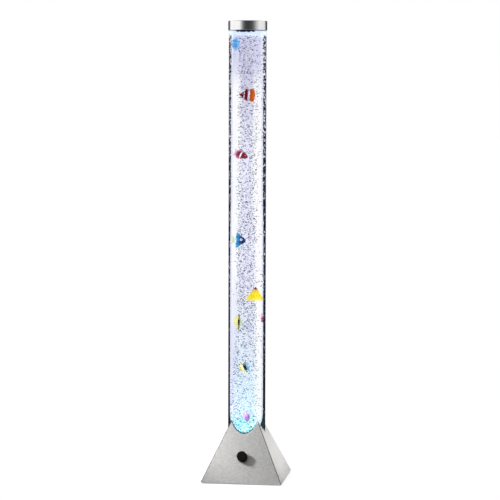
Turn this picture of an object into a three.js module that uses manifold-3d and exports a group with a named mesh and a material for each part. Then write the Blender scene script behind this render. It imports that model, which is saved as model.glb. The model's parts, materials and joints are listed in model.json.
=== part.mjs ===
// A water column floor lamp: a clear tube of water with drifting toy fish, standing on a
// sheet-steel pyramid that hides the air pump, the air line and the colour-changing lamps.
// Millimetres, +Z up. The origin is on the floor under the middle of the base, and the
// control knob is on the -Y face.

import * as THREE from "three";
import { mergeGeometries, mergeVertices } from "three/addons/utils/BufferGeometryUtils.js";
import Module from "manifold-3d";

const wasm = await Module();
wasm.setup();

// Driving dimensions of the lamp
const lampHeight = 1218;
const baseWidth = 215;
const shellBottomHeight = 3;
const steelThickness = 1.2;
const tubeOuterRadius = 50;
const tubeWall = 3;
const capHeight = 25;
const plateRecess = 2.5; // from the shell's bottom edge up to the bottom plate
const plateThickness = 2;

// Gaps: between pieces that rest on each other, and round pieces that slide into each other
const seatGap = 0.2;
const fitGap = 0.3;
const overrun = 2; // how far a cutting shape runs past what it cuts

// Facets of round pieces
const fineSides = 48;
const plainSides = 20;
const smallSides = 10;

// The air pump sets how high the nozzle, and with it the tube, stands over the bottom plate
const pumpPadThickness = 4;
const pumpCaseHeight = 46;
const pumpLidHeight = 4;
const elbowClearance = 3.1; // between the pump's lid and the nozzle's elbow
const elbowRadius = 5;
const elbowDrop = 17; // from the tube's bottom down to the side barb's axis
const plateBottomHeight = shellBottomHeight + plateRecess;
const plateTopHeight = plateBottomHeight + plateThickness;
const pumpCaseBottomHeight = plateTopHeight + seatGap + pumpPadThickness + seatGap;
const pumpTopHeight = pumpCaseBottomHeight + pumpCaseHeight + seatGap + pumpLidHeight;
const elbowHeight = pumpTopHeight + elbowClearance + elbowRadius;
const tubeBottomHeight = elbowHeight + elbowDrop;

// Socket that holds the foot of the tube. Its rim sets how steep the shell's faces are.
const socketWall = 3.5;
const socketFloor = 3;
const socketDepth = 24;
const socketLedgeWidth = 10;
const socketShellMargin = 3.44; // from the socket's rim to the outside of the shell
const socketFloorBottomHeight = tubeBottomHeight - seatGap - socketFloor;
const socketTopHeight = socketFloorBottomHeight + socketFloor + socketDepth;
const socketOuterRadius = tubeOuterRadius + fitGap + socketWall;

// What follows from them
const baseHalf = baseWidth / 2;
const rimHalf = socketOuterRadius + socketShellMargin; // the shell's half width beside the socket's rim
// How far a face comes in for each millimetre of rise
const faceLean = (baseHalf - rimHalf) / (socketTopHeight - shellBottomHeight);
const pyramidHeight = baseHalf / faceLean; // from the shell's bottom edge to where its faces would meet
const faceAngle = Math.atan2(pyramidHeight, baseHalf);
const wallRun = steelThickness / Math.sin(faceAngle); // the shell's wall, measured level
const tubeInnerRadius = tubeOuterRadius - tubeWall;
const quarterTurn = Math.PI / 2;
const eighthTurn = Math.PI / 4;

const outerHalfAt = (z) => baseHalf - (z - shellBottomHeight) * faceLean;
const innerHalfAt = (z) => outerHalfAt(z) - wallRun;

// Colours and finishes
const finish = (color, roughness, metalness, opacity = 1) =>
  new THREE.MeshStandardMaterial({ color, roughness, metalness, opacity, transparent: opacity < 1 });
const brushedSteel = finish(0xb9b8b6, 0.45, 0.85);
const satinChrome = finish(0xd4d2cf, 0.22, 0.95);
const clearAcrylic = finish(0xe6ecf4, 0.05, 0, 0.35);
const blackPlastic = finish(0x151515, 0.45, 0);
const greyPlastic = finish(0x8c9094, 0.5, 0);
const whitePlastic = finish(0xe8e8e4, 0.4, 0);
const blackRubber = finish(0x1c1c1c, 0.85, 0);
const siliconeRubber = finish(0xdfe6e8, 0.35, 0, 0.7);
const zincSteel = finish(0xa8abb0, 0.35, 0.9);
const copperWire = finish(0xa8572c, 0.35, 0.9);
const greenBoard = finish(0x1f5a34, 0.5, 0);
const airStoneGrey = finish(0x9aa3ad, 0.95, 0);
const paint = (color) => finish(color, 0.35, 0);

// A closed geometry as a solid that can be joined and cut
function solid(geometry) {
  const bare = geometry.index ? geometry.toNonIndexed() : geometry.clone();
  bare.deleteAttribute("normal");
  bare.deleteAttribute("uv");
  const merged = mergeVertices(bare);
  return new wasm.Manifold(
    new wasm.Mesh({
      numProp: 3,
      vertProperties: merged.attributes.position.array,
      triVerts: new Uint32Array(merged.index.array),
    }),
  );
}

function geometryOf(manifold) {
  const mesh = manifold.getMesh();
  const made = new THREE.BufferGeometry();
  made.setAttribute("position", new THREE.BufferAttribute(mesh.vertProperties, 3));
  made.setIndex(new THREE.BufferAttribute(mesh.triVerts, 1));
  return made;
}

const join = (first, ...more) =>
  geometryOf(more.reduce((sum, one) => sum.add(solid(one)), solid(first)));
const cut = (first, ...tools) =>
  geometryOf(tools.reduce((left, one) => left.subtract(solid(one)), solid(first)));
const common = (first, second) => geometryOf(solid(first).intersect(solid(second)));

// Separate solids of one piece, such as four like screws
function together(geometries) {
  return mergeGeometries(
    geometries.map((one) => {
      const bare = one.index ? one.toNonIndexed() : one.clone();
      bare.deleteAttribute("normal");
      bare.deleteAttribute("uv");
      return bare;
    }),
  );
}

const copies = (geometry, places) =>
  together(places.map(([x, y, z]) => geometry.clone().translate(x, y, z)));

// A bar with a round section that stands on z = 0
const rod = (radius, length, sides = plainSides) =>
  new THREE.CylinderGeometry(radius, radius, length, sides).rotateX(quarterTurn).translate(0, 0, length / 2);

// A block that stands on z = 0, centred on the z axis
const block = (width, depth, height) =>
  new THREE.BoxGeometry(width, depth, height).translate(0, 0, height / 2);

// A shape turned about the z axis, from its [radius, height] points in order round the section
function turned(profile, sides = plainSides) {
  const points = profile.map(([radius, height]) => new THREE.Vector2(radius, height));
  const area = points.reduce((sum, p, i) => sum + p.cross(points[(i + 1) % points.length]), 0);
  if (area < 0) points.reverse();
  const onAxis = points.findIndex((p, i) => p.x === 0 && points[(i + 1) % points.length].x === 0);
  const ring =
    onAxis < 0
      ? [...points, points[0]]
      : [...points.slice(onAxis + 1), ...points.slice(0, onAxis + 1)];
  return new THREE.LatheGeometry(ring, sides).rotateX(quarterTurn);
}

// Points of an arc in a section, from one angle to another, both ends included
function arcPoints(centreRadius, centreHeight, radius, from, to, steps) {
  return Array.from({ length: steps + 1 }, (_, i) => {
    const angle = from + ((to - from) * i) / steps;
    return [centreRadius + radius * Math.cos(angle), centreHeight + radius * Math.sin(angle)];
  });
}

// The rounded upper edge of a turned piece, up to the given radius and height
const roundedEdge = (radius, height, round, steps) =>
  arcPoints(radius - round, height - round, round, 0, quarterTurn, steps);

// Four places at the corners of a square
const fourCorners = (half, z = 0) =>
  [-1, 1].flatMap((x) => [-1, 1].map((y) => [x * half, y * half, z]));

// A square pyramid with its base at z = 0 and its sides along x and y
const pyramid = (half, height) =>
  new THREE.ConeGeometry(half * Math.SQRT2, height, 4)
    .rotateY(eighthTurn)
    .rotateX(quarterTurn)
    .translate(0, 0, height / 2);

function piece(name, geometry, material, position = [0, 0, 0]) {
  const mesh = new THREE.Mesh(geometry, material);
  mesh.name = name;
  mesh.position.set(...position);
  return mesh;
}

// Like pieces, numbered from 1, each at its own place
const pieces = (name, geometry, material, places) =>
  places.map((position, i) => piece(`${name}_${i + 1}`, geometry, material, position));

// Screws: a pan head under z = 0 and a shank above it
const screwShankRadius = 1.5;
const screwHeadRadius = 2.9;
const screwHeadHeight = 1.8;
const screwHoleRadius = screwShankRadius + seatGap;

const screw = (shankLength) =>
  turned(
    [
      [0, -screwHeadHeight],
      [screwHeadRadius - screwHeadHeight / 2, -screwHeadHeight],
      [screwHeadRadius, -screwHeadHeight / 2],
      [screwHeadRadius, 0],
      [screwShankRadius, 0],
      [screwShankRadius, shankLength],
      [0, shankLength],
    ],
    smallSides,
  );

// A moulded boss with a pin that goes up through a board and is melted into a head above it
const bossRadius = 3;
const pinRadius = 1.2;
const pinHeadRadius = 2.2;
const pinHeadHeight = 1;
const pinHoleRadius = pinRadius + seatGap;
const pinSides = 8;
const bossSink = 1; // how far a boss reaches into what it is moulded on

const stakedPin = (rise, boardThick) =>
  turned(
    [
      [0, -bossSink],
      [bossRadius, -bossSink],
      [bossRadius, rise - seatGap],
      [pinRadius, rise - seatGap],
      [pinRadius, rise + boardThick + seatGap],
      [pinHeadRadius, rise + boardThick + seatGap],
      [pinHeadRadius, rise + boardThick + seatGap + pinHeadHeight],
      [0, rise + boardThick + seatGap + pinHeadHeight],
    ],
    pinSides,
  );

// Bottom plate and the shell's lugs
const plateHalf = innerHalfAt(plateTopHeight) - fitGap;
const lugThickness = 1.5;
const lugLegLength = 54;
const cornerScrewInset = 15;
const lugBottomHeight = plateTopHeight + seatGap;
const cornerScrewHalf = innerHalfAt(lugBottomHeight) - cornerScrewInset;

// The socket's legs, on the diagonals of the base
const legReach = 11.25; // from the outside of the socket's cup to a leg's axis
const legRadius = 5;
const legHoleDepth = 9;
const legEarRadius = 7;
const legDistance = socketOuterRadius + legReach;
const legHalf = legDistance / Math.SQRT2;

// Knob axis: where it crosses the front face
const knobHeight = 67;
const bushingRadius = 3.5;

// Power inlet on the back face
const inletHeight = 24;
const inletOffset = 45;
const inletBarrelRadius = 5.5;

// The shell: a pyramid of folded sheet, pierced by the tube, with a welded lug in each corner
const shellTubeGap = 0.4;

function baseShell() {
  const outer = pyramid(baseHalf, pyramidHeight).translate(0, 0, shellBottomHeight);
  const hollowHalf = baseHalf - wallRun + overrun * faceLean;
  const hollow = pyramid(hollowHalf, hollowHalf / faceLean).translate(0, 0, shellBottomHeight - overrun);
  const diamondSide = (2 * innerHalfAt(lugBottomHeight) - lugLegLength) * Math.SQRT2;
  const lugSlab = block(baseWidth, baseWidth, lugThickness).translate(0, 0, lugBottomHeight);
  const diamond = block(diamondSide, diamondSide, lugThickness + 2 * overrun)
    .rotateZ(eighthTurn)
    .translate(0, 0, lugBottomHeight - overrun);
  const lugs = cut(common(outer, lugSlab), diamond);
  const tubeHole = rod(tubeOuterRadius + shellTubeGap, pyramidHeight + 2 * overrun, fineSides)
    .translate(0, 0, shellBottomHeight);
  const screwHoles = copies(
    rod(screwHoleRadius, lugThickness + 2 * overrun, smallSides),
    fourCorners(cornerScrewHalf, lugBottomHeight - overrun),
  );
  const throughWall = 2 * (steelThickness + overrun);
  const knobHole = rod(bushingRadius + seatGap, throughWall)
    .translate(0, 0, -throughWall / 2)
    .rotateX(faceAngle)
    .translate(0, -outerHalfAt(knobHeight), knobHeight);
  const inletHole = rod(inletBarrelRadius + seatGap, throughWall)
    .translate(0, 0, -throughWall / 2)
    .rotateX(-faceAngle)
    .translate(inletOffset, outerHalfAt(inletHeight), inletHeight);
  return cut(join(cut(outer, hollow), lugs), tubeHole, screwHoles, knobHole, inletHole);
}

// Bottom plate: moulded, with air slots in front and the control board's bosses on top
const ventCount = 9;
const ventLength = 34;
const ventWidth = 3;
const ventPitch = 8;
const ventInset = 37.8; // from the bottom plate's edge to the middle of the slots
const ventDistance = plateHalf - ventInset;
const boardWidth = 34;
const boardDepth = 62;
const boardThickness = 1.6;
const boardInset = 33.8; // from the bottom plate's edge to the middle of the board
const boardX = plateHalf - boardInset;
const boardY = -4;
const boardRise = 5;
const boardHoleInset = 4;
const boardCorners = (z) =>
  fourCorners(1).map(([x, y]) => [
    x * (boardWidth / 2 - boardHoleInset),
    y * (boardDepth / 2 - boardHoleInset),
    z,
  ]);

function bottomPlate() {
  const holeDepth = plateThickness + 2 * overrun;
  const slots = Array.from({ length: ventCount }, (_, i) =>
    block(ventWidth, ventLength, holeDepth).translate(
      (i - (ventCount - 1) / 2) * ventPitch,
      -ventDistance,
      -overrun,
    ),
  );
  const hole = rod(screwHoleRadius, holeDepth, smallSides);
  const holes = copies(hole, [
    ...fourCorners(cornerScrewHalf, -overrun),
    ...fourCorners(legHalf, -overrun),
  ]);
  const bosses = boardCorners(plateThickness).map(([x, y, z]) =>
    stakedPin(boardRise, boardThickness).translate(boardX + x, boardY + y, z),
  );
  return join(cut(block(2 * plateHalf, 2 * plateHalf, plateThickness), ...slots, holes), ...bosses);
}

const footRadius = 8;
const footChamfer = 1;
const footInset = 17; // from a corner screw to the foot beside it, along x and along y
const footHalf = cornerScrewHalf - footInset;
const footHeight = plateBottomHeight - seatGap;

const rubberFoot = () =>
  turned([
    [0, 0],
    [footRadius - footChamfer, 0],
    [footRadius, footChamfer],
    [footRadius, footHeight],
    [0, footHeight],
  ]);

const plateScrewLength = 8;
const plateScrew = screw(plateScrewLength);
const plateScrewHeight = plateBottomHeight - seatGap;

const base = new THREE.Group();
base.add(
  piece("base_shell", baseShell(), brushedSteel),
  piece("bottom_plate", bottomPlate(), blackPlastic, [0, 0, plateBottomHeight]),
  ...pieces("rubber_foot", rubberFoot(), blackRubber, fourCorners(footHalf)),
  ...pieces("plate_screw", plateScrew, zincSteel, fourCorners(cornerScrewHalf, plateScrewHeight)),
  ...pieces("leg_screw", plateScrew, zincSteel, fourCorners(legHalf, plateScrewHeight)),
);

// LED board, hung under the socket on three pins
const ledBoardThickness = 1.6;
const ledBoardDrop = 4.4; // from the socket's floor down to the board
const ledBoardHoleRadius = 13;
const ledPinInset = 4;
const ledPinDistance = tubeOuterRadius - ledPinInset;
const ledBoardRadius = ledPinDistance + bossRadius;
const ledPinCount = 3;

const ledPinPlaces = (z) =>
  Array.from({ length: ledPinCount }, (_, i) => {
    const angle = (2 * Math.PI * i) / ledPinCount - quarterTurn;
    return [ledPinDistance * Math.cos(angle), ledPinDistance * Math.sin(angle), z];
  });

// The socket: a cup with an open floor, on four legs that stand on the bottom plate
function tubeSocket() {
  const ledgeRadius = tubeOuterRadius + fitGap - socketLedgeWidth;
  const cup = turned(
    [
      [ledgeRadius, 0],
      [socketOuterRadius, 0],
      [socketOuterRadius, socketFloor + socketDepth],
      [tubeOuterRadius + fitGap, socketFloor + socketDepth],
      [tubeOuterRadius + fitGap, socketFloor],
      [ledgeRadius, socketFloor],
    ],
    fineSides,
  );
  const earLength = legDistance - socketOuterRadius + 2 * socketWall;
  const legLength = socketFloorBottomHeight - plateTopHeight - seatGap;
  const arm = join(
    block(earLength, 2 * legEarRadius, socketFloor).translate(legDistance - earLength / 2, 0, 0),
    rod(legEarRadius, socketFloor).translate(legDistance, 0, 0),
    rod(legRadius, legLength + bossSink, smallSides).translate(legDistance, 0, -legLength),
  );
  const arms = fourCorners(1).map(([x, y]) => arm.clone().rotateZ(Math.atan2(y, x)));
  const pins = ledPinPlaces(0).map(([x, y]) =>
    stakedPin(ledBoardDrop, ledBoardThickness).rotateX(Math.PI).translate(x, y, 0),
  );
  const screwHole = rod(screwHoleRadius, legHoleDepth + overrun, smallSides);
  return cut(join(cup, ...arms, ...pins), copies(screwHole, fourCorners(legHalf, -legLength - overrun)));
}

// The board's lamps are soldered on, so they are one piece with it
const ledChipCount = 12;
const ledChipSize = 5;
const ledChipHeight = 1.6;
const ledChipDistance = 27;
const solderSink = 0.1;
const ledBoardBottomHeight = socketFloorBottomHeight - ledBoardDrop - ledBoardThickness;

function ledBoard() {
  const disc = turned(
    [
      [ledBoardHoleRadius, 0],
      [ledBoardRadius, 0],
      [ledBoardRadius, ledBoardThickness],
      [ledBoardHoleRadius, ledBoardThickness],
    ],
    2 * plainSides,
  );
  const hole = rod(pinHoleRadius, ledBoardThickness + 2 * overrun, smallSides);
  const chips = Array.from({ length: ledChipCount }, (_, i) =>
    block(ledChipSize, ledChipSize, ledChipHeight + solderSink)
      .translate(ledChipDistance, 0, ledBoardThickness - solderSink)
      .rotateZ((2 * Math.PI * i) / ledChipCount),
  );
  return join(cut(disc, copies(hole, ledPinPlaces(-overrun))), ...chips);
}

const support = new THREE.Group();
support.add(
  piece("tube_socket", tubeSocket(), blackPlastic, [0, 0, socketFloorBottomHeight]),
  piece("led_board", ledBoard(), greenBoard, [0, 0, ledBoardBottomHeight]),
);

// Cap: a drawn metal lid over a plastic liner that plugs the top of the tube
const capWall = 1.2;
const capClearance = 0.5;
const capEdgeRadius = 1.5;
const linerThickness = 2;
const linerSkirtWall = 2;
const linerSkirtDepth = 14;
const ventHoleRadius = 2.5;
const capOuterRadius = tubeOuterRadius + capClearance + capWall;
const linerTopHeight = lampHeight - capWall - seatGap;
const tubeTopHeight = linerTopHeight - linerThickness - seatGap;
const capEdgeSteps = 3;

const capShell = () =>
  turned(
    [
      [capOuterRadius - capWall, 0],
      [capOuterRadius, 0],
      ...roundedEdge(capOuterRadius, capHeight, capEdgeRadius, capEdgeSteps),
      [ventHoleRadius, capHeight],
      [ventHoleRadius, capHeight - capWall],
      [capOuterRadius - capWall, capHeight - capWall],
    ],
    fineSides,
  );

const capLiner = () =>
  turned(
    [
      [ventHoleRadius, linerSkirtDepth],
      [tubeInnerRadius - fitGap - linerSkirtWall, linerSkirtDepth],
      [tubeInnerRadius - fitGap - linerSkirtWall, 0],
      [tubeInnerRadius - fitGap, 0],
      [tubeInnerRadius - fitGap, linerSkirtDepth],
      [tubeOuterRadius, linerSkirtDepth],
      [tubeOuterRadius, linerSkirtDepth + linerThickness],
      [ventHoleRadius, linerSkirtDepth + linerThickness],
    ],
    fineSides,
  );

const cap = new THREE.Group();
cap.add(
  piece("cap_shell", capShell(), satinChrome, [0, 0, lampHeight - capHeight]),
  piece("cap_liner", capLiner(), blackPlastic, [0, 0, linerTopHeight - linerThickness - linerSkirtDepth]),
);

// Tube, its bottom plug and the seal in the plug's groove
const plugThickness = 11;
const sealRadius = 1.4;
const grooveGap = 0.15;
const stemRadius = 4;
const tubeLength = tubeTopHeight - tubeBottomHeight;
const plugRadius = tubeInnerRadius - fitGap;
const sealCentreRadius = tubeInnerRadius - grooveGap - sealRadius;
const grooveRadius = sealCentreRadius - sealRadius - grooveGap;
const grooveHalf = sealRadius + grooveGap;
const plugHoleRadius = stemRadius + seatGap;

const waterTube = () =>
  turned(
    [
      [tubeInnerRadius, 0],
      [tubeOuterRadius, 0],
      [tubeOuterRadius, tubeLength],
      [tubeInnerRadius, tubeLength],
    ],
    fineSides,
  );

const tubePlug = () =>
  turned(
    [
      [plugHoleRadius, 0],
      [plugRadius, 0],
      [plugRadius, plugThickness / 2 - grooveHalf],
      [grooveRadius, plugThickness / 2 - grooveHalf],
      [grooveRadius, plugThickness / 2 + grooveHalf],
      [plugRadius, plugThickness / 2 + grooveHalf],
      [plugRadius, plugThickness],
      [plugHoleRadius, plugThickness],
    ],
    fineSides,
  );

const plugSeal = () => new THREE.TorusGeometry(sealCentreRadius, sealRadius, smallSides / 2, fineSides);

// Air nozzle: a flanged stem through the plug, with a side barb below and a top barb above
const nozzleFlangeRadius = 8;
const nozzleFlangeThickness = 2;
const washerThickness = 1;
const barbRadius = 2;
const airwayRadius = 1.1;
const topBarbLength = 7;
const sideBarbLength = 20;
const nozzleNutRadius = 8;
const nozzleNutHeight = 4;
const plugTopHeight = tubeBottomHeight + plugThickness;
const flangeBottom = plugTopHeight + washerThickness + 2 * seatGap - elbowHeight;

function airNozzle() {
  const stem = turned([
    [0, -elbowRadius],
    [elbowRadius, -elbowRadius],
    [elbowRadius, elbowRadius],
    [stemRadius, elbowRadius],
    [stemRadius, flangeBottom],
    [nozzleFlangeRadius, flangeBottom],
    [nozzleFlangeRadius, flangeBottom + nozzleFlangeThickness],
    [barbRadius, flangeBottom + nozzleFlangeThickness],
    [barbRadius, flangeBottom + nozzleFlangeThickness + topBarbLength],
    [0, flangeBottom + nozzleFlangeThickness + topBarbLength],
  ]);
  const barb = rod(barbRadius, sideBarbLength, smallSides).rotateX(-quarterTurn);
  const stemTop = flangeBottom + nozzleFlangeThickness + topBarbLength;
  const upAirway = rod(airwayRadius, stemTop + overrun, smallSides);
  const sideAirway = rod(airwayRadius, sideBarbLength + overrun, smallSides).rotateX(-quarterTurn);
  return cut(join(stem, barb), upAirway, sideAirway);
}

const ringOf = (outer, inner, height, sides = plainSides) =>
  turned(
    [
      [inner, 0],
      [outer, 0],
      [outer, height],
      [inner, height],
    ],
    sides,
  );

const hexNut = (radius, holeRadius, height) =>
  cut(rod(radius, height, 6), rod(holeRadius, height + 2 * overrun).translate(0, 0, -overrun));

// Air stone: a porous drum pushed over the nozzle's top barb
const stoneRadius = 13;
const stoneHeight = 14;
const stoneChamfer = 1.5;
const stoneHoleDepth = 8;
const stoneBottomHeight = elbowHeight + flangeBottom + nozzleFlangeThickness + seatGap;

const airStone = () =>
  turned([
    [barbRadius + seatGap, 0],
    [stoneRadius - stoneChamfer, 0],
    [stoneRadius, stoneChamfer],
    [stoneRadius, stoneHeight - stoneChamfer],
    [stoneRadius - stoneChamfer, stoneHeight],
    [0, stoneHeight],
    [0, stoneHoleDepth],
    [barbRadius + seatGap, stoneHoleDepth],
  ]);

const column = new THREE.Group();
column.add(
  piece("water_tube", waterTube(), clearAcrylic, [0, 0, tubeBottomHeight]),
  piece("tube_plug", tubePlug(), clearAcrylic, [0, 0, tubeBottomHeight]),
  piece("plug_seal", plugSeal(), blackRubber, [0, 0, tubeBottomHeight + plugThickness / 2]),
  piece("air_nozzle", airNozzle(), whitePlastic, [0, 0, elbowHeight]),
  piece("nozzle_washer", ringOf(nozzleFlangeRadius, plugHoleRadius, washerThickness), blackRubber, [
    0,
    0,
    plugTopHeight + seatGap,
  ]),
  piece("nozzle_nut", hexNut(nozzleNutRadius, plugHoleRadius, nozzleNutHeight), whitePlastic, [
    0,
    0,
    tubeBottomHeight - seatGap - nozzleNutHeight,
  ]),
  piece("air_stone", airStone(), airStoneGrey, [0, 0, stoneBottomHeight]),
);

// Control: a rotary switch behind the front face, and its knob in front of it
const switchBodyRadius = 12;
const switchBodyDepth = 14;
const bushingLength = 5.5;
const shaftRadius = 3;
const shaftSlimRadius = 1.8; // inside the bushing
const controlNutHeight = 2;
const controlNutRadius = 6;
const knobRadius = 13.5;
const knobLength = 16;
const knobStandOff = 1; // between the face and the knob's skirt
const knobRecessRadius = 9;
const knobRecessDepth = 4;
const knobBoreDepth = 13;
const knobEdge = 1.4;
const knobEdgeSteps = 3;
const pointerWidth = 1.6;
const pointerDepth = 0.6;

function knobShape() {
  const grip = turned(
    [
      [0, 0],
      [knobRadius, 0],
      ...roundedEdge(knobRadius, knobLength, knobEdge, knobEdgeSteps),
      [0, knobLength],
    ],
    2 * plainSides,
  );
  const recess = rod(knobRecessRadius, knobRecessDepth + overrun).translate(0, 0, -overrun);
  const bore = rod(shaftRadius + seatGap, knobBoreDepth + overrun).translate(0, 0, -overrun);
  const pointer = block(knobRadius, pointerWidth, pointerDepth + overrun)
    .translate(knobRadius / 2, 0, knobLength - pointerDepth)
    .rotateZ(quarterTurn);
  return cut(grip, recess, bore, pointer);
}

function switchBody() {
  const top = -steelThickness - fitGap;
  const housing = turned([
    [0, top - switchBodyDepth],
    [switchBodyRadius, top - switchBodyDepth],
    [switchBodyRadius, top],
    [bushingRadius, top],
    [bushingRadius, top + bushingLength],
    [0, top + bushingLength],
  ]);
  const shaftBore = rod(shaftSlimRadius + seatGap, switchBodyDepth + bushingLength)
    .translate(0, 0, top - switchBodyDepth / 2 - seatGap);
  return cut(housing, shaftBore);
}

const switchNut = () => hexNut(controlNutRadius, bushingRadius + seatGap, controlNutHeight);

// The shaft is slim inside the bushing and stout inside the knob
function switchShaft() {
  const bushingTop = bushingLength - steelThickness - fitGap;
  const shaftTop = knobStandOff + knobBoreDepth - fitGap;
  return turned(
    [
      [0, -switchBodyDepth / 2],
      [shaftSlimRadius, -switchBodyDepth / 2],
      [shaftSlimRadius, bushingTop + seatGap],
      [shaftRadius, bushingTop + seatGap],
      [shaftRadius, shaftTop],
      [0, shaftTop],
    ],
    smallSides,
  );
}

const control = new THREE.Group();
control.position.set(0, -outerHalfAt(knobHeight), knobHeight);
control.rotation.x = faceAngle;
control.add(
  piece("switch_body", switchBody(), greyPlastic),
  piece("switch_nut", switchNut(), zincSteel, [0, 0, fitGap]),
  piece("switch_shaft", switchShaft(), zincSteel),
  piece("knob", knobShape(), blackPlastic, [0, 0, knobStandOff]),
);

// Power inlet: a round jack through the back face, held by a ring nut on the inside
const inletFlangeRadius = 7.5;
const inletFlangeThickness = 1.5;
const inletLength = 15;
const inletSocketRadius = 3.2;
const inletSocketDepth = 10;
const inletPinRadius = 1;
const inletNutThickness = 2.5;
const inletNutRadius = 8;

const powerInlet = () =>
  turned([
    [0, -inletLength],
    [inletBarrelRadius, -inletLength],
    [inletBarrelRadius, fitGap],
    [inletFlangeRadius, fitGap],
    [inletFlangeRadius, fitGap + inletFlangeThickness],
    [inletSocketRadius, fitGap + inletFlangeThickness],
    [inletSocketRadius, fitGap + inletFlangeThickness - inletSocketDepth],
    [inletPinRadius, fitGap + inletFlangeThickness - inletSocketDepth],
    [inletPinRadius, 0],
    [0, 0],
  ]);

const inlet = new THREE.Group();
inlet.position.set(inletOffset, outerHalfAt(inletHeight), inletHeight);
inlet.rotation.x = -faceAngle;
inlet.add(
  piece("power_inlet", powerInlet(), blackPlastic),
  piece("inlet_nut", hexNut(inletNutRadius, inletBarrelRadius + seatGap, inletNutThickness), zincSteel, [
    0,
    0,
    -steelThickness - fitGap - inletNutThickness,
  ]),
);

// Control board on the plate's bosses, one piece with the parts soldered to it
const driverWidth = 14;
const driverDepth = 12;
const driverHeight = 4;
const capacitorRadius = 4;
const capacitorHeight = 11;
const headerSize = 7;
const headerHeight = 4;
const boardRows = 4; // a header at each end, with the driver and the capacitor between
const boardBottomHeight = plateTopHeight + boardRise;
const boardTopHeight = boardBottomHeight + boardThickness;
const boardRow = (row) => (row - (boardRows - 1) / 2) * (boardDepth / boardRows);

function controlBoard() {
  const hole = rod(pinHoleRadius, boardThickness + 2 * overrun, smallSides);
  const board = cut(block(boardWidth, boardDepth, boardThickness), copies(hole, boardCorners(-overrun)));
  const top = boardThickness - solderSink;
  return join(
    board,
    block(headerSize, headerSize, headerHeight + solderSink).translate(0, boardRow(0), top),
    block(driverWidth, driverDepth, driverHeight + solderSink).translate(0, boardRow(1), top),
    rod(capacitorRadius, capacitorHeight + solderSink).translate(0, boardRow(2), top),
    block(headerSize, headerSize, headerHeight + solderSink).translate(0, boardRow(3), top),
  );
}

const electronics = new THREE.Group();
electronics.add(piece("control_board", controlBoard(), greenBoard, [boardX, boardY, boardBottomHeight]));

// Air pump. Its own frame has its origin on the underside of the case, in the middle.
const pumpX = -12;
const pumpY = -4;
const pumpLength = 92;
const pumpWidth = 50;
const pumpWall = 2;
const pumpPadMargin = 4;
const lidRimWall = 1.6;
const lidRimDepth = 2;
const coreWidth = 28;
const coreDepth = 16;
const coreLimb = 8;
const coreX = -24;
const bobbinWall = 1;
const bobbinFlange = 5;
const coilMargin = 1;
const magnetLength = 24;
const magnetDepth = 14;
const magnetHeight = 4.5;
const magnetAirGap = 2.8;
const armThickness = 2;
const armWidth = 14;
const pivotX = 34;
const pivotRadius = 1.5;
const pivotEyeRadius = 3.5;
const pivotLidClearance = 2; // between the arm's eye and the rim of the lid
const earWidth = 8;
const earThickness = 3;
const diaphragmX = 12; // straight under the arm, and in line with the outlet
const diaphragmRadius = 12;
const diaphragmWall = 1.2;
const diaphragmButtonRadius = 4;
const diaphragmHeight = 9;
const chamberWidth = 26;
const outletHeight = 8;
const nippleReach = 11; // how far the nipple stands out of the case
const outletHoleGap = 0.6;

// From the chamber's side to the nipple's end
const outletLength = pumpWidth / 2 + nippleReach - chamberWidth / 2;
const pumpInnerLength = pumpLength - 2 * pumpWall;
const pumpInnerWidth = pumpWidth - 2 * pumpWall;
const coreBottom = pumpWall + seatGap;
const pivotHeight = pumpCaseHeight + seatGap - lidRimDepth - pivotLidClearance - pivotEyeRadius;
const armBottom = pivotHeight - armThickness / 2;
const magnetBottom = armBottom - seatGap - magnetHeight;
const coreHeight = magnetBottom - magnetAirGap - coreBottom;
const coreTop = coreBottom + coreHeight;
const rightLimbX = coreX + coreWidth / 2 - coreLimb / 2;
const bobbinBottom = coreBottom + coreLimb + seatGap;
const bobbinHeight = coreTop - bobbinBottom - bobbinWall;
const chamberTop = armBottom - seatGap - diaphragmHeight - seatGap;

function pumpCase() {
  const box = block(pumpLength, pumpWidth, pumpCaseHeight);
  const hollow = block(pumpInnerLength, pumpInnerWidth, pumpCaseHeight).translate(0, 0, pumpWall);
  const earHeight = pivotHeight + pivotEyeRadius - pumpWall / 2;
  const ears = [-1, 1].map((side) =>
    block(earWidth, earThickness, earHeight)
      .translate(pivotX, side * (armWidth / 2 + fitGap + earThickness / 2), pumpWall / 2),
  );
  const pivotHole = rod(pivotRadius + seatGap, pumpInnerWidth - overrun, smallSides)
    .translate(0, 0, -(pumpInnerWidth - overrun) / 2)
    .rotateX(quarterTurn)
    .translate(pivotX, 0, pivotHeight);
  const outletHole = rod(barbRadius + outletHoleGap, pumpWall + 2 * overrun, smallSides)
    .rotateX(-quarterTurn)
    .translate(diaphragmX, pumpInnerWidth / 2 - overrun, outletHeight);
  return cut(join(cut(box, hollow), ...ears), pivotHole, outletHole);
}

// The lid presses into the case with a rim
function pumpLid() {
  const rimLength = pumpInnerLength - 2 * fitGap;
  const rimWidth = pumpInnerWidth - 2 * fitGap;
  const rim = block(rimLength, rimWidth, lidRimDepth + pumpLidHeight / 2).translate(0, 0, -lidRimDepth);
  const inside = block(rimLength - 2 * lidRimWall, rimWidth - 2 * lidRimWall, lidRimDepth + overrun)
    .translate(0, 0, -lidRimDepth - overrun);
  return cut(join(block(pumpLength, pumpWidth, pumpLidHeight), rim), inside);
}

function pumpCore() {
  const window = block(coreWidth - 2 * coreLimb, coreDepth + 2 * overrun, coreHeight)
    .translate(0, 0, coreLimb);
  return cut(block(coreWidth, coreDepth, coreHeight), window);
}

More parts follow.
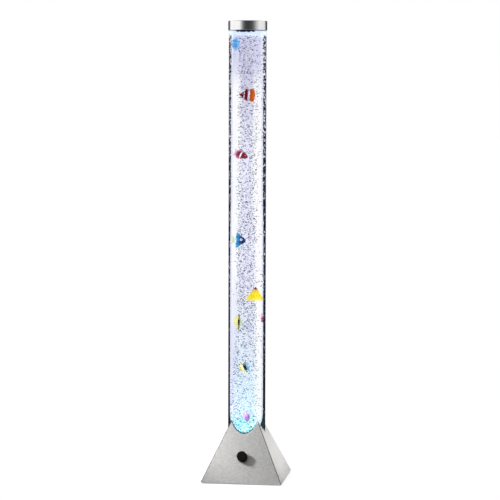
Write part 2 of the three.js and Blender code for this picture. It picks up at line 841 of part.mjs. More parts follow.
function pumpBobbin() {
  const width = coreLimb + 2 * (fitGap + bobbinWall);
  const depth = coreDepth + 2 * (fitGap + bobbinWall);
  const flange = block(width + 2 * bobbinFlange - 2 * bobbinWall, depth + 2 * bobbinFlange, bobbinWall);
  const spool = join(
    block(width, depth, bobbinHeight),
    flange,
    flange.clone().translate(0, 0, bobbinHeight - bobbinWall),
  );
  const limbHole = block(coreLimb + 2 * fitGap, coreDepth + 2 * fitGap, bobbinHeight + 2 * overrun)
    .translate(0, 0, -overrun);
  return cut(spool, limbHole);
}

function pumpCoil() {
  const width = coreLimb + 2 * (fitGap + bobbinWall + seatGap);
  const depth = coreDepth + 2 * (fitGap + bobbinWall + seatGap);
  const winding = bobbinHeight - 2 * (bobbinWall + seatGap);
  const grow = 2 * (bobbinFlange - coilMargin - bobbinWall);
  const bore = block(width, depth, winding + 2 * overrun).translate(0, 0, -overrun);
  return cut(block(width + grow, depth + grow, winding), bore);
}

function pumpArm() {
  const reach = pivotX - (coreX - magnetLength / 2);
  const plate = block(reach, armWidth, armThickness).translate(-reach / 2, 0, -armThickness / 2);
  const eye = rod(pivotEyeRadius, armWidth, plainSides).translate(0, 0, -armWidth / 2).rotateX(quarterTurn);
  const bore = rod(pivotRadius + seatGap, armWidth + 2 * overrun, smallSides)
    .translate(0, 0, -armWidth / 2 - overrun)
    .rotateX(quarterTurn);
  return cut(join(plate, eye), bore);
}

const pivotPinLength = armWidth + 2 * (fitGap + earThickness);
const pumpPivotPin = () =>
  rod(pivotRadius, pivotPinLength, smallSides).translate(0, 0, -pivotPinLength / 2).rotateX(quarterTurn);

// A rubber cup, open below, with a solid button on top that the arm pushes
const pumpDiaphragm = () =>
  turned([
    [0, diaphragmHeight / 2],
    [diaphragmButtonRadius - diaphragmWall, diaphragmHeight / 2],
    [diaphragmRadius - 2 * diaphragmWall, 0],
    [diaphragmRadius, 0],
    [diaphragmRadius, diaphragmWall],
    [diaphragmButtonRadius, diaphragmHeight / 2 + diaphragmWall],
    [diaphragmButtonRadius, diaphragmHeight],
    [0, diaphragmHeight],
  ]);

function pumpChamber() {
  const bodyHeight = chamberTop - coreBottom;
  const nippleRise = outletHeight - coreBottom;
  const nipple = rod(barbRadius, outletLength + chamberWidth / 4, smallSides)
    .rotateX(-quarterTurn)
    .translate(0, chamberWidth / 4, nippleRise);
  const bore = rod(airwayRadius, outletLength + chamberWidth / 2 + overrun, smallSides)
    .rotateX(-quarterTurn)
    .translate(0, 0, nippleRise);
  const well = rod(diaphragmButtonRadius, bodyHeight - nippleRise + overrun).translate(0, 0, nippleRise);
  return cut(join(block(chamberWidth, chamberWidth, bodyHeight), nipple), bore, well);
}

const pumpMagnet = block(magnetLength, magnetDepth, magnetHeight);

const pump = new THREE.Group();
pump.position.set(pumpX, pumpY, pumpCaseBottomHeight);
pump.add(
  piece(
    "pump_pad",
    block(pumpLength - 2 * pumpPadMargin, pumpWidth - 2 * pumpPadMargin, pumpPadThickness),
    blackRubber,
    [0, 0, -pumpPadThickness - seatGap],
  ),
  piece("pump_case", pumpCase(), whitePlastic),
  piece("pump_lid", pumpLid(), whitePlastic, [0, 0, pumpCaseHeight + seatGap]),
  piece("pump_core", pumpCore(), zincSteel, [coreX, 0, coreBottom]),
  piece("pump_bobbin", pumpBobbin(), whitePlastic, [rightLimbX, 0, bobbinBottom]),
  piece("pump_coil", pumpCoil(), copperWire, [rightLimbX, 0, bobbinBottom + bobbinWall + seatGap]),
  piece("pump_arm", pumpArm(), zincSteel, [pivotX, 0, pivotHeight]),
  piece("pump_magnet", pumpMagnet, blackPlastic, [coreX, 0, magnetBottom]),
  piece("pump_pivot_pin", pumpPivotPin(), zincSteel, [pivotX, 0, pivotHeight]),
  piece("pump_diaphragm", pumpDiaphragm(), blackRubber, [diaphragmX, 0, chamberTop + seatGap]),
  piece("pump_chamber", pumpChamber(), greyPlastic, [diaphragmX, 0, coreBottom]),
);

// Check valve in the air line, standing upright behind the pump
const valveX = pumpX + diaphragmX;
const valveRadius = 7;
const valveBodyHeight = 10;
const valveCapHeight = 7;
const hoseBend = 12;
const hoseRunOut = 6; // straight hose between the pump's nipple and the bend
const hoseRunUp = 3.4; // straight hose between the valve's top barb and the bend
const barbGap = 0.6; // left between a hose's end and the shoulder behind the barb
const nippleEndY = pumpY + pumpWidth / 2 + nippleReach;
const valveY = nippleEndY + hoseRunOut + hoseBend;
const valveStackHeight = valveBodyHeight + seatGap + valveCapHeight + barbGap;
const valveBottomHeight = elbowHeight - hoseBend - hoseRunUp - valveStackHeight;
const valveBarbLength = 5;
const valveChamberRadius = 4.2;
const valveFloor = 3;
const ballRadius = 2.8;

const valveBody = () =>
  turned([
    [airwayRadius, -valveBarbLength],
    [barbRadius, -valveBarbLength],
    [barbRadius, 0],
    [valveRadius, 0],
    [valveRadius, valveBodyHeight],
    [valveChamberRadius, valveBodyHeight],
    [valveChamberRadius, valveFloor],
    [airwayRadius, valveFloor],
  ]);

const valveCap = () =>
  turned([
    [airwayRadius, 0],
    [valveRadius, 0],
    [valveRadius, valveCapHeight],
    [barbRadius, valveCapHeight],
    [barbRadius, valveCapHeight + valveBarbLength],
    [airwayRadius, valveCapHeight + valveBarbLength],
  ]);

// The ball touches the rim of the airway: its centre is that much above the chamber's floor
const ballSeatHeight = valveFloor + Math.sqrt(ballRadius ** 2 - airwayRadius ** 2) + seatGap;

const valve = new THREE.Group();
valve.position.set(valveX, valveY, valveBottomHeight);
valve.add(
  piece("check_valve_body", valveBody(), greyPlastic),
  piece("check_valve_cap", valveCap(), whitePlastic, [0, 0, valveBodyHeight + seatGap]),
  piece("check_valve_ball", new THREE.SphereGeometry(ballRadius, smallSides, smallSides / 2), zincSteel, [
    0,
    0,
    ballSeatHeight,
  ]),
);

// Silicone air hoses: each end is pushed over a barb
const hoseRadius = 3;
const hoseBoreRadius = 2.3;
const hoseSides = 8;
const hoseSteps = 18;

function hose(points) {
  const section = new THREE.Shape().absarc(0, 0, hoseRadius, 0, 2 * Math.PI);
  section.holes.push(new THREE.Path().absarc(0, 0, hoseBoreRadius, 0, 2 * Math.PI, true));
  return new THREE.ExtrudeGeometry(section, {
    steps: hoseSteps,
    curveSegments: hoseSides / 2,
    extrudePath: new THREE.CatmullRomCurve3(points.map((p) => new THREE.Vector3(...p))),
  });
}

// Straight, then a quarter circle in the y-z plane, then straight, as points for a smooth curve
const bendPoints = (y, z, radius, from, to, steps) =>
  arcPoints(y, z, radius, from, to, steps).map(([py, pz]) => [valveX, py, pz]);

const nippleShoulderY = pumpY + pumpWidth / 2 + barbGap;
const lowerHoseHeight = pumpCaseBottomHeight + outletHeight;
const valveTopBarbBottom = valveBottomHeight + valveStackHeight;
const bendSteps = 4;

const lowerHose = () =>
  hose([
    [valveX, nippleShoulderY, lowerHoseHeight],
    [valveX, nippleEndY, lowerHoseHeight],
    ...bendPoints(valveY - hoseBend, lowerHoseHeight + hoseBend, hoseBend, -quarterTurn, 0, bendSteps),
    [valveX, valveY, valveBottomHeight - barbGap],
  ]);

const upperHose = () =>
  hose([
    [valveX, valveY, valveTopBarbBottom],
    ...bendPoints(valveY - hoseBend, elbowHeight - hoseBend, hoseBend, 0, quarterTurn, bendSteps),
    [valveX, sideBarbLength, elbowHeight],
    [valveX, elbowRadius + barbGap, elbowHeight],
  ]);

// Wiring looms inside the base: two sheathed leads that share one plug on the control board
const leadRadius = 1.4;
const leadSides = 8;
const leadSteps = 14;
const leadGap = 0.4; // between a lead's far end and what it is wired to
const leadRise = 8;
const leadRun = 12; // how far a lead runs straight out before it bends
const leadLegGap = 6.5; // from the socket's leg to the middle of the lead that passes it
const plugHeight = 6;
const plugBottomHeight = boardTopHeight + headerHeight + seatGap;
const leadFootHeight = plugBottomHeight + plugHeight / 2;
const leadSpread = headerSize / 4;

function lead(points) {
  const section = new THREE.Shape().absarc(0, 0, leadRadius, 0, 2 * Math.PI);
  return new THREE.ExtrudeGeometry(section, {
    steps: leadSteps,
    curveSegments: leadSides / 2,
    extrudePath: new THREE.CatmullRomCurve3(points.map((p) => new THREE.Vector3(...p))),
  });
}

// The points down into a plug, on its near or far side
const intoPlug = (y, side) => [
  [boardX + side * leadSpread, y, leadFootHeight + 2 * leadRise],
  [boardX + side * leadSpread, y, leadFootHeight],
];

const loom = (y, ...leads) =>
  join(
    block(headerSize, headerSize, plugHeight).translate(boardX, y, plugBottomHeight),
    ...leads.map((points, i) => lead([...points, ...intoPlug(y, i ? 1 : -1)])),
  );

// The switch's back end and the inlet's inner end, on their slanting axes
const switchTail = switchBodyDepth + steelThickness + fitGap + leadGap;
const switchTailY = -outerHalfAt(knobHeight) + switchTail * Math.sin(faceAngle);
const switchTailZ = knobHeight - switchTail * Math.cos(faceAngle);
const inletTail = inletLength + leadGap;
const inletTailY = outerHalfAt(inletHeight) - inletTail * Math.sin(faceAngle);
const inletTailZ = inletHeight - inletTail * Math.cos(faceAngle);
const frontPlugY = boardY + boardRow(0);
const backPlugY = boardY + boardRow(3);

const switchRoute = [
  [0, switchTailY, switchTailZ],
  [0, switchTailY + leadRun * Math.sin(faceAngle), switchTailZ - leadRun * Math.cos(faceAngle)],
  [boardX / 2, 2 * legRadius - legHalf, (switchTailZ + leadFootHeight) / 2 + leadRise],
];

const pumpEndX = pumpX + pumpLength / 2 + leadGap;
const pumpLeadHeight = pumpCaseBottomHeight + pumpCaseHeight / 2;
const pumpRoute = [
  [pumpEndX, pumpY, pumpLeadHeight],
  [pumpEndX + leadRun, pumpY, pumpLeadHeight],
  [(pumpEndX + leadRun + boardX) / 2 + leadRun / 2, frontPlugY / 2, pumpLeadHeight + leadRun / 2],
];

const inletRoute = [
  [inletOffset, inletTailY, inletTailZ],
  [
    inletOffset,
    inletTailY - (leadRun / 2) * Math.sin(faceAngle),
    inletTailZ - (leadRun / 2) * Math.cos(faceAngle),
  ],
  [legHalf + legRadius + leadLegGap, (inletTailY + backPlugY) / 2, leadFootHeight + leadRise],
];

const ledLeadX = ledBoardRadius - 3 * leadRadius;
const ledLeadTop = ledBoardBottomHeight - leadGap;
const ledRoute = [
  [ledLeadX, 0, ledLeadTop],
  [ledLeadX, 0, ledLeadTop - leadRise],
  [(ledLeadX + boardX) / 2 + leadRise, backPlugY / 2, (ledLeadTop + leadFootHeight) / 2],
];

const lines = new THREE.Group();
lines.add(
  piece("lower_hose", lowerHose(), siliconeRubber),
  piece("upper_hose", upperHose(), siliconeRubber),
  piece("front_loom", loom(frontPlugY, switchRoute, pumpRoute), blackRubber),
  piece("rear_loom", loom(backPlugY, inletRoute, ledRoute), blackRubber),
);

// Toy fish. Each is built nose towards +X and upright, about the middle of its length.
// Outlines are in shares of the fish's length (forwards) and of its full height (up).
const finThicknessShare = 0.0213; // of the tube's inner radius
const finThickness = finThicknessShare * tubeInnerRadius;
const bodyRings = 8;
const bodySides = 10;
const finCurveSteps = 2;
const ringShares = Array.from(
  { length: bodyRings + 1 },
  (_, i) => (1 - Math.cos((Math.PI * i) / bodyRings)) / 2,
);
const bodyLengthShare = 0.74; // from the nose to where the tail starts
const tailRootShare = 0.24; // the body's height there, as a share of its greatest

// peak: how far back the body is deepest. blunt: 1 is pointed, less is rounder.
const fishKinds = {
  oval: {
    bodyHeightShare: 0.66,
    peak: 0.8,
    blunt: 0.62,
    tail: [
      [-0.18, 0.08], [-0.4, 0.27], [-0.5, 0.22], [-0.46, 0],
      [-0.5, -0.22], [-0.4, -0.27], [-0.18, -0.08],
    ],
    fin: [[0.24, 0.2], [0.12, 0.4], [-0.06, 0.5], [-0.26, 0.38], [-0.18, 0.08]],
  },
  wedge: {
    bodyHeightShare: 0.74,
    peak: 1.5,
    blunt: 0.85,
    tail: [
      [-0.12, 0.26], [-0.24, 0.48], [-0.42, 0.5], [-0.5, 0],
      [-0.42, -0.5], [-0.24, -0.48], [-0.12, -0.26],
    ],
    fin: [[0.14, 0.22], [0.06, 0.38], [-0.06, 0.42], [-0.12, 0.36], [-0.06, 0.2]],
  },
  dart: {
    bodyHeightShare: 0.72,
    peak: 0.95,
    blunt: 0.9,
    tail: [
      [-0.16, 0.1], [-0.38, 0.4], [-0.5, 0.36], [-0.42, 0],
      [-0.5, -0.36], [-0.38, -0.4], [-0.16, -0.1],
    ],
    fin: [[0.2, 0.2], [0.06, 0.46], [-0.12, 0.5], [-0.24, 0.36], [-0.16, 0.12]],
  },
  disc: {
    bodyHeightShare: 0.7,
    peak: 0.85,
    blunt: 0.75,
    tail: [
      [-0.18, 0.08], [-0.36, 0.2], [-0.5, 0.26], [-0.44, 0],
      [-0.5, -0.26], [-0.36, -0.2], [-0.18, -0.08],
    ],
    fin: [[0.2, 0.24], [0.06, 0.44], [-0.16, 0.5], [-0.3, 0.44], [-0.18, 0.1]],
  },
  kite: {
    bodyHeightShare: 0.44,
    peak: 1,
    blunt: 0.85,
    tail: [[-0.16, 0.1], [-0.4, 0.2], [-0.5, 0.14], [-0.46, 0], [-0.5, -0.14], [-0.4, -0.2], [-0.16, -0.1]],
    fin: [[0.3, 0.08], [0.02, 0.28], [-0.32, 0.5], [-0.46, 0.42], [-0.4, 0.16], [-0.14, 0.06]],
  },
  plume: {
    bodyHeightShare: 0.8,
    peak: 0.85,
    blunt: 0.7,
    tail: [
      [-0.16, 0.1], [-0.46, 0.14], [-0.38, 0.05], [-0.5, 0],
      [-0.38, -0.05], [-0.46, -0.14], [-0.16, -0.1],
    ],
    fin: [[0.12, 0.3], [-0.1, 0.48], [-0.4, 0.5], [-0.2, 0.28], [-0.16, 0.14]],
  },
};

function finGeometry(shares, length, height, flip = 1) {
  const points = shares.map(([x, z]) => new THREE.Vector2(x * length, flip * z * height));
  const outline = new THREE.Shape();
  outline.moveTo(points[0].x, points[0].y);
  outline.splineThru(points.slice(1));
  outline.closePath();
  return new THREE.ExtrudeGeometry(outline, {
    depth: finThickness,
    bevelEnabled: false,
    curveSegments: finCurveSteps,
  })
    .rotateX(quarterTurn)
    .translate(0, finThickness / 2, 0);
}

function fishShape(kind, length, height, thickness) {
  const { bodyHeightShare, peak, blunt, tail, fin } = fishKinds[kind];
  const depth = bodyHeightShare * height;
  const profile = ringShares.map((share) => {
    const full = Math.sin(Math.PI * share ** peak) ** blunt;
    const radius = (depth / 2) * ((1 - tailRootShare) * full + tailRootShare * share);
    return [share === 0 ? 0 : radius, length * bodyLengthShare * share];
  });
  const body = turned([...profile, [0, length * bodyLengthShare]], bodySides)
    .rotateY(-quarterTurn)
    .translate(length / 2, 0, 0)
    .scale(1, thickness / depth, 1);
  return join(
    body,
    finGeometry(tail, length, height),
    finGeometry(fin, length, height),
    finGeometry(fin, length, height, -1),
  );
}

// Name, kind, place, length, height and thickness, heading about z and nose-up pitch in degrees,
// and colour. Places along x and y and the sizes are shares of the tube's inner radius, and a
// place along z is a share of the way from the plug's top to the tube's top.
const fishTableShares = [
  ["fish_sky_blue", "oval", [-0.534, -0.404, 0.9486], [0.553, 0.787, 0.213], 148, 6, 0x6db4e8],
  ["fish_orange_band", "wedge", [0.04, -0.426, 0.8285], [0.787, 0.83, 0.255], 180, 3, 0xd9531e],
  ["fish_dark_red", "dart", [-0.27, -0.426, 0.6879], [0.787, 0.532, 0.191], 4, -24, 0x9c1420],
  ["fish_deep_blue", "disc", [-0.372, -0.404, 0.4845], [0.723, 0.872, 0.213], 4, -4, 0x1f6fd0],
  ["fish_yellow", "kite", [0.447, -0.298, 0.3564], [0.787, 0.894, 0.213], 8, 90, 0xf2dc1e],
  ["fish_magenta", "plume", [0.787, -0.191, 0.2982], [0.511, 0.426, 0.17], 90, -62, 0xb02a5c],
  ["fish_lemon_bar", "oval", [-0.379, -0.404, 0.2901], [0.638, 0.915, 0.191], 124, 4, 0xe8cf3a],
  ["fish_banner", "disc", [-0.051, -0.468, 0.1808], [0.596, 0.66, 0.17], 172, 8, 0xe9cf4a],
  ["fish_violet", "plume", [0.034, -0.34, 0.0643], [0.596, 0.426, 0.191], 10, -80, 0xa77bd4],
];
const waterSpan = tubeTopHeight - plugTopHeight;
const degree = Math.PI / 180;

const school = new THREE.Group();
for (const [name, kind, [xShare, yShare, zShare], sizeShares, heading, pitch, color] of fishTableShares) {
  const size = sizeShares.map((share) => share * tubeInnerRadius);
  const place = [xShare * tubeInnerRadius, yShare * tubeInnerRadius, plugTopHeight + zShare * waterSpan];
  const fish = piece(name, fishShape(kind, ...size), paint(color), place);
  fish.rotation.set(0, -pitch * degree, heading * degree, "ZYX");
  school.add(fish);
}

const lamp = new THREE.Group();
lamp.add(base, support, column, cap, control, inlet, electronics, pump, valve, lines, school);

export default lamp;
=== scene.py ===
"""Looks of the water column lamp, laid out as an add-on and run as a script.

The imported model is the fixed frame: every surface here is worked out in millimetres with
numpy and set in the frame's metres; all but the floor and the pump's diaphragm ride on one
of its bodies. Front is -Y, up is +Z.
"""

import json
import math
from functools import cached_property

import bmesh
import bpy
import numpy as np
from mathutils import Matrix, Vector


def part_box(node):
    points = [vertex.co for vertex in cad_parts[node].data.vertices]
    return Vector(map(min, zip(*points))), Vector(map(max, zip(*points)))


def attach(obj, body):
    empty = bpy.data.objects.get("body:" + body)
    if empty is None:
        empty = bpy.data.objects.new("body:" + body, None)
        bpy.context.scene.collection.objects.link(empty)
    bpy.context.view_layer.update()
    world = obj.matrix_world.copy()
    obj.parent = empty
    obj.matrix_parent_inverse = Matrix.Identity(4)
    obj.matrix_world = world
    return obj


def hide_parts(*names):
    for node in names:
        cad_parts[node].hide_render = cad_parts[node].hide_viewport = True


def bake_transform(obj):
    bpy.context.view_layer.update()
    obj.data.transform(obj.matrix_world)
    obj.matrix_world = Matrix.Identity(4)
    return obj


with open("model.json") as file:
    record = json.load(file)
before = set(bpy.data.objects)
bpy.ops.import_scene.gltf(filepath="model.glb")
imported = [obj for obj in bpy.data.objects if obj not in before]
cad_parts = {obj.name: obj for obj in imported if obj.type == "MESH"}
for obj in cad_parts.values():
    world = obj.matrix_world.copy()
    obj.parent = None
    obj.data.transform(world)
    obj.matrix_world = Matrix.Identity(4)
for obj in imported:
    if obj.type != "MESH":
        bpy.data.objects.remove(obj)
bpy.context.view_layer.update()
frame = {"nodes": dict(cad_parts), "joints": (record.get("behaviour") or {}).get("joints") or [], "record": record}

bl_info = {
    "name": "Water column lamp",
    "version": (1, 0, 0),
    "blender": (4, 5, 0),
    "location": "View3D > Sidebar > Lamp",
    "description": "Builds the visible surfaces and finishes of a water column lamp",
    "category": "Add Mesh",
}

MM = 0.001


def box(node):
    """The low and high corners of a CAD node, in millimetres."""
    return [np.array(corner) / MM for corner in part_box(node)]


TUBE_LOW, TUBE_HIGH = box("water_tube")
STONE_LOW, STONE_HIGH = box("air_stone")
CAP_LOW, CAP_HIGH = box("cap_shell")
SHELL_LOW, SHELL_HIGH = box("base_shell")
FACE_LEAN = 0.4653704  # half width that the pyramid loses per unit of rise
FACE_TILT = math.atan2(1.0, FACE_LEAN)
SHELL_SUM = SHELL_HIGH[0] + FACE_LEAN * SHELL_LOW[2]  # half width plus lean times height


# Sizes and colours that a user would change


def length(label, words, millimetres):
    """A property for a length, given in millimetres and kept in metres."""
    return bpy.props.FloatProperty(
        name=label, description=words, default=float(millimetres) * MM,
        min=0.0, max=2.0, precision=4, subtype="DISTANCE", unit="LENGTH",
    )


def count(label, words, number):
    """A property for a whole number."""
    return bpy.props.IntProperty(name=label, description=words, default=number, min=0)


def colour(label, words, code):
    """A property for a colour, from its six-figure code."""
    return bpy.props.FloatVectorProperty(
        name=label, description=words, default=linear(code),
        size=3, min=0.0, max=1.0, subtype="COLOR",
    )


def linear(code):
    """The linear red, green and blue of a six-figure colour code."""
    parts = np.array([int(code[i : i + 2], 16) for i in (0, 2, 4)]) / 255
    low, high = parts / 12.92, ((parts + 0.055) / 1.055) ** 2.4
    return tuple(float(x) for x in np.where(parts <= 0.04045, low, high))


class LampSizes(bpy.types.PropertyGroup):
    """Sizes that the CAD model leaves to the looks."""

    tube_radius: length("Tube radius", "Outside radius of the clear tube", TUBE_HIGH[0])
    tube_wall: length("Tube wall", "Thickness of the clear tube's wall", 3.0)
    fold_radius: length("Fold radius", "Outside radius of the shell's folds", 1.3)
    steel_thickness: length("Steel thickness", "Thickness of the shell's sheet", 1.2)
    hole_gap: length("Hole gap", "Gap between the tube and the shell's hole", 0.4)
    water_height: length("Water height", "Top of the water and its foam", 1192.4)
    foam_depth: length("Foam depth", "Depth of the foam on the water", 10.5)
    bubble_radius: length("Bubble radius", "Middling radius of a rising bubble", 1.15)
    plume_radius: length("Plume radius", "How far the bubbles spread from the axis", 19.5)
    fin_thickness: length("Fin thickness", "Thickness of a fish's fins", 1.0)
    hose_radius: length("Hose radius", "Outside radius of the air hoses", 3.0)
    hose_bore: length("Hose bore", "Inside radius of the air hoses", 2.3)
    lead_radius: length("Lead radius", "Radius of the leads inside the base", 1.4)
    bubble_count: count("Bubbles", "Rising bubbles in the water", 7600)
    wall_bubble_count: count("Wall bubbles", "Small bubbles on the tube's wall", 1700)
    base_bubble_count: count("Base bubbles", "Lit bubbles over the air stone", 1800)
    foam_bubble_count: count("Foam bubbles", "Bubbles under the foam's edge", 700)
    seed: count("Seed", "Start of the bubbles' random places", 11)


class LampColours(bpy.types.PropertyGroup):
    """Colours of the lamp's visible finishes."""

    shell_steel: colour("Shell steel", "Brushed steel of the base", "d4d3d0")
    cap_steel: colour("Cap steel", "Satin steel of the cap", "f5f4f3")
    # painted shade at the tube's edge, then a painted highlight at its outermost edge
    rim_shade: colour("Tube rim", "What the thick edge of the tube lets through", "0a0f2a")
    rim_highlight: colour("Tube rim, pale", "The outermost edge of the tube", "93a0bd")
    water_high: colour("Water, high", "Tint of the lit water near the top", "d6d5e8")
    water_middle: colour("Water, middle", "Tint of the lit water half way up", "f0f1fd")
    water_low: colour("Water, low", "Tint of the lit water near the base", "e2f7fd")
    # painted light from the lamps, low in the water
    water_glow: colour("Water glow", "Tint of the water just over the lamps", "c4f2f4")
    foam: colour("Foam", "Foam on the water", "f4fcff")
    bubble_dark: colour("Bubble, dark", "Dark side of the bubbles", "30385c")
    bubble_pale: colour("Bubble, pale", "Bright bubbles", "f6f7ff")
    knob: colour("Knob", "Front control", "080808")
    floor: colour("Floor", "Floor of the stage", "f4f4f4")


# Surfaces, worked out as whole arrays


def unit(rows):
    """Vectors brought to length 1."""
    return rows / np.maximum(np.linalg.norm(rows, axis=-1, keepdims=True), 1e-9)


def eased(corners, radii, steps=4, closed=True):
    """Points of a section whose corners are rounded.

    Each corner P turns into (1-t)^2 A + 2t(1-t) P + t^2 B for t from 0 to 1, where A and B
    lie the corner's radius away from P on its two edges, or 0.45 of the edge if that is less.
    One more point just outside A and B keeps the flats beside a corner flat.
    """
    corners = np.asarray(corners, float)
    radii = np.broadcast_to(np.asarray(radii, float), len(corners)).copy()
    if not closed:
        radii[[0, -1]] = 0.0
    ends = []
    for step in (1, -1):
        edge = np.roll(corners, step, 0) - corners
        size = np.linalg.norm(edge, axis=1, keepdims=True)
        reach = np.minimum(radii[:, None], 0.45 * size)
        extra = np.where(reach > 0, np.minimum(0.3, 0.04 * size), 0)
        ends += [corners + unit(edge) * reach, corners + unit(edge) * (reach + extra)]
    a, first, b, last = (end[:, None] for end in ends)
    t = np.linspace(0, 1, steps + 1)[None, :, None]
    curve = (1 - t) ** 2 * a + 2 * t * (1 - t) * corners[:, None] + t**2 * b
    points = np.concatenate([first, curve, last], 1).reshape(-1, corners.shape[1])
    apart = np.linalg.norm(points - np.roll(points, 1, 0), axis=1) > 1e-6
    apart[0] = True
    return points[apart]


def angles(sides):
    """Equal steps round a circle, in radians."""
    return np.arange(sides) * 2 * np.pi / sides


def turned(section, sides, centre=(0, 0, 0)):
    """A section of [radius, height] points turned about the z axis.

    Point i at angle q is (r_i cos q, r_i sin q, h_i), moved by the centre.
    """
    r, h = np.asarray(section, float).T[..., None]
    q = angles(sides)
    return np.stack([r * np.cos(q), r * np.sin(q), h + 0 * q], -1) + np.array(centre, float)


def smooth_path(points, steps):
    """A curve through points: Hermite spans between neighbours P and Q, with slopes m and n
    from the points on either side, h00 P + h10 m + h01 Q + h11 n."""
    p = np.asarray(points, float)
    slope = np.concatenate([p[1:2] - p[:1], (p[2:] - p[:-2]) / 2, p[-1:] - p[-2:-1]])
    t = np.linspace(0, 1, steps, endpoint=False)[None, :, None]
    a, b, m, n = (x[:, None] for x in (p[:-1], p[1:], slope[:-1], slope[1:]))
    reach = np.linalg.norm(b - a, axis=2, keepdims=True)
    curve = (
        (2 * t**3 - 3 * t**2 + 1) * a
        + (t**3 - 2 * t**2 + t) * unit(m) * reach
        + (3 * t**2 - 2 * t**3) * b
        + (t**3 - t**2) * unit(n) * reach
    )
    return np.concatenate([curve.reshape(-1, 3), p[-1:]])


def swept(path, radius, sides, side):
    """A round section carried along a path.

    At each station with direction T the section lies in the plane of N = T x side and
    B = T x N: the point at angle q is P + radius (N cos q + B sin q). The radius may be
    one number for each station.
    """
    path = np.asarray(path, float)
    along = unit(np.gradient(path, axis=0))
    across = unit(np.cross(along, np.asarray(side, float)))
    up = np.cross(along, across)
    q = angles(sides)[None, :, None]
    radius = np.broadcast_to(np.asarray(radius, float), len(path))[:, None, None]
    return path[:, None] + radius * (across[:, None] * np.cos(q) + up[:, None] * np.sin(q))


def rounded_block(size, centre, edge, sides=32):
    """A block with rounded edges: each direction n of a ball moves out to
    sign(n) (half size - edge) + edge n, so the flat faces lie between the ball's octants."""
    q = (np.arange(sides) + 0.5) * 2 * np.pi / sides
    p = np.linspace(0, np.pi, sides // 2)[:, None]
    n = np.stack([np.sin(p) * np.cos(q), np.sin(p) * np.sin(q), np.cos(p) + 0 * q], -1)
    n[np.abs(n) < 1e-9] = 0.0
    core = np.asarray(size, float) / 2 - edge
    grid = np.sign(n) * core + edge * n
    grid[0], grid[-1] = (0, 0, core[2] + edge), (0, 0, -core[2] - edge)
    return grid + np.asarray(centre, float)


def ripple(points, scale, waves=5, seed=0):
    """A smooth bumpy field from -1 to 1: the mean of sin(k . p / scale + f) over a few fixed
    directions k and phases f."""
    draw = np.random.default_rng(seed)
    k = draw.normal(size=(waves, 3)) * 2.2
    f = draw.uniform(0, 2 * np.pi, waves)
    return np.sin(np.asarray(points, float) @ k.T / scale + f).mean(-1) * 1.6


def placed(grid, origin, *axes):
    """A grid in a frame of its own, set into the lamp's frame by its three axes."""
    return grid @ np.array(axes, float) + np.asarray(origin, float)


def quads(rows, columns, loop=False):
    """The faces of a grid as four point numbers each. Its columns go round, and its rows too
    where it is a loop."""
    row, column = np.arange(rows if loop else rows - 1)[:, None], np.arange(columns)
    near, far, after = row * columns, (row + 1) % rows * columns, (column + 1) % columns
    return np.stack([near + column, near + after, far + after, far + column], -1).reshape(-1, 4)


def volume(points, faces):
    """The signed volume inside a closed surface: a . (b x c) / 6 summed over its triangles."""
    a, b, c, d = (points[faces[:, k]] for k in range(4))
    return ((a * np.cross(b, c)).sum() + (a * np.cross(c, d)).sum()) / 6


class Skin:
    """Gathers closed surfaces, in millimetres, into one mesh."""

    def __init__(self):
        self.points, self.faces, self.slots, self.fields, self.count = [], [], [], [], 0

    def add(self, grid, loop=False, slot=0, field=None):
        """Adds one surface given as a grid of points, turned to face outwards. The field is
        one row of numbers for each point, for the finish to read."""
        points, faces = grid.reshape(-1, 3), quads(*grid.shape[:2], loop)
        if volume(points, faces) < 0:
            faces = faces[:, ::-1]
        self.points.append(points)
        self.faces.append(faces + self.count)
        self.slots.append(np.full(len(faces), slot))
        self.fields.append(np.zeros((len(points), 4)) if field is None else field)
        self.count += len(points)
        return self

    def piece(self, name, materials, sharp, field_name=None):
        """The mesh object, seams and poles closed and shaded smooth up to an angle."""
        mesh = bpy.data.meshes.new(name)
        points, faces = np.concatenate(self.points) * MM, np.concatenate(self.faces)
        mesh.from_pydata(points.tolist(), [], faces.tolist())
        mesh.polygons.foreach_set("material_index", np.concatenate(self.slots).astype(np.int32))
        if field_name:
            values = np.concatenate(self.fields)
            kept = mesh.attributes.new(field_name, "FLOAT_COLOR", "POINT")
            kept.data.foreach_set("color", values.astype(np.float32).ravel())
        form = bmesh.new()
        form.from_mesh(mesh)
        bmesh.ops.remove_doubles(form, verts=form.verts, dist=1e-6)
        bmesh.ops.dissolve_degenerate(form, edges=form.edges, dist=1e-7)
        form.to_mesh(mesh)
        form.free()
        for material in materials:
            mesh.materials.append(material)
        mesh.polygons.foreach_set("use_smooth", np.ones(len(mesh.polygons), bool))
        mesh.set_sharp_from_angle(angle=math.radians(sharp))
        return linked(name, mesh)


def linked(name, data):
    """A new object for a mesh, lamp or camera, in the scene."""
    made = bpy.data.objects.new(name, data)
    bpy.context.scene.collection.objects.link(made)
    return made


def fitted(piece, body, slot, *nodes):
    """A piece on its body, with the CAD nodes that it stands for hidden. The slot is not used."""
    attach(piece, body)
    if nodes:
        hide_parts(*nodes)


# Finishes


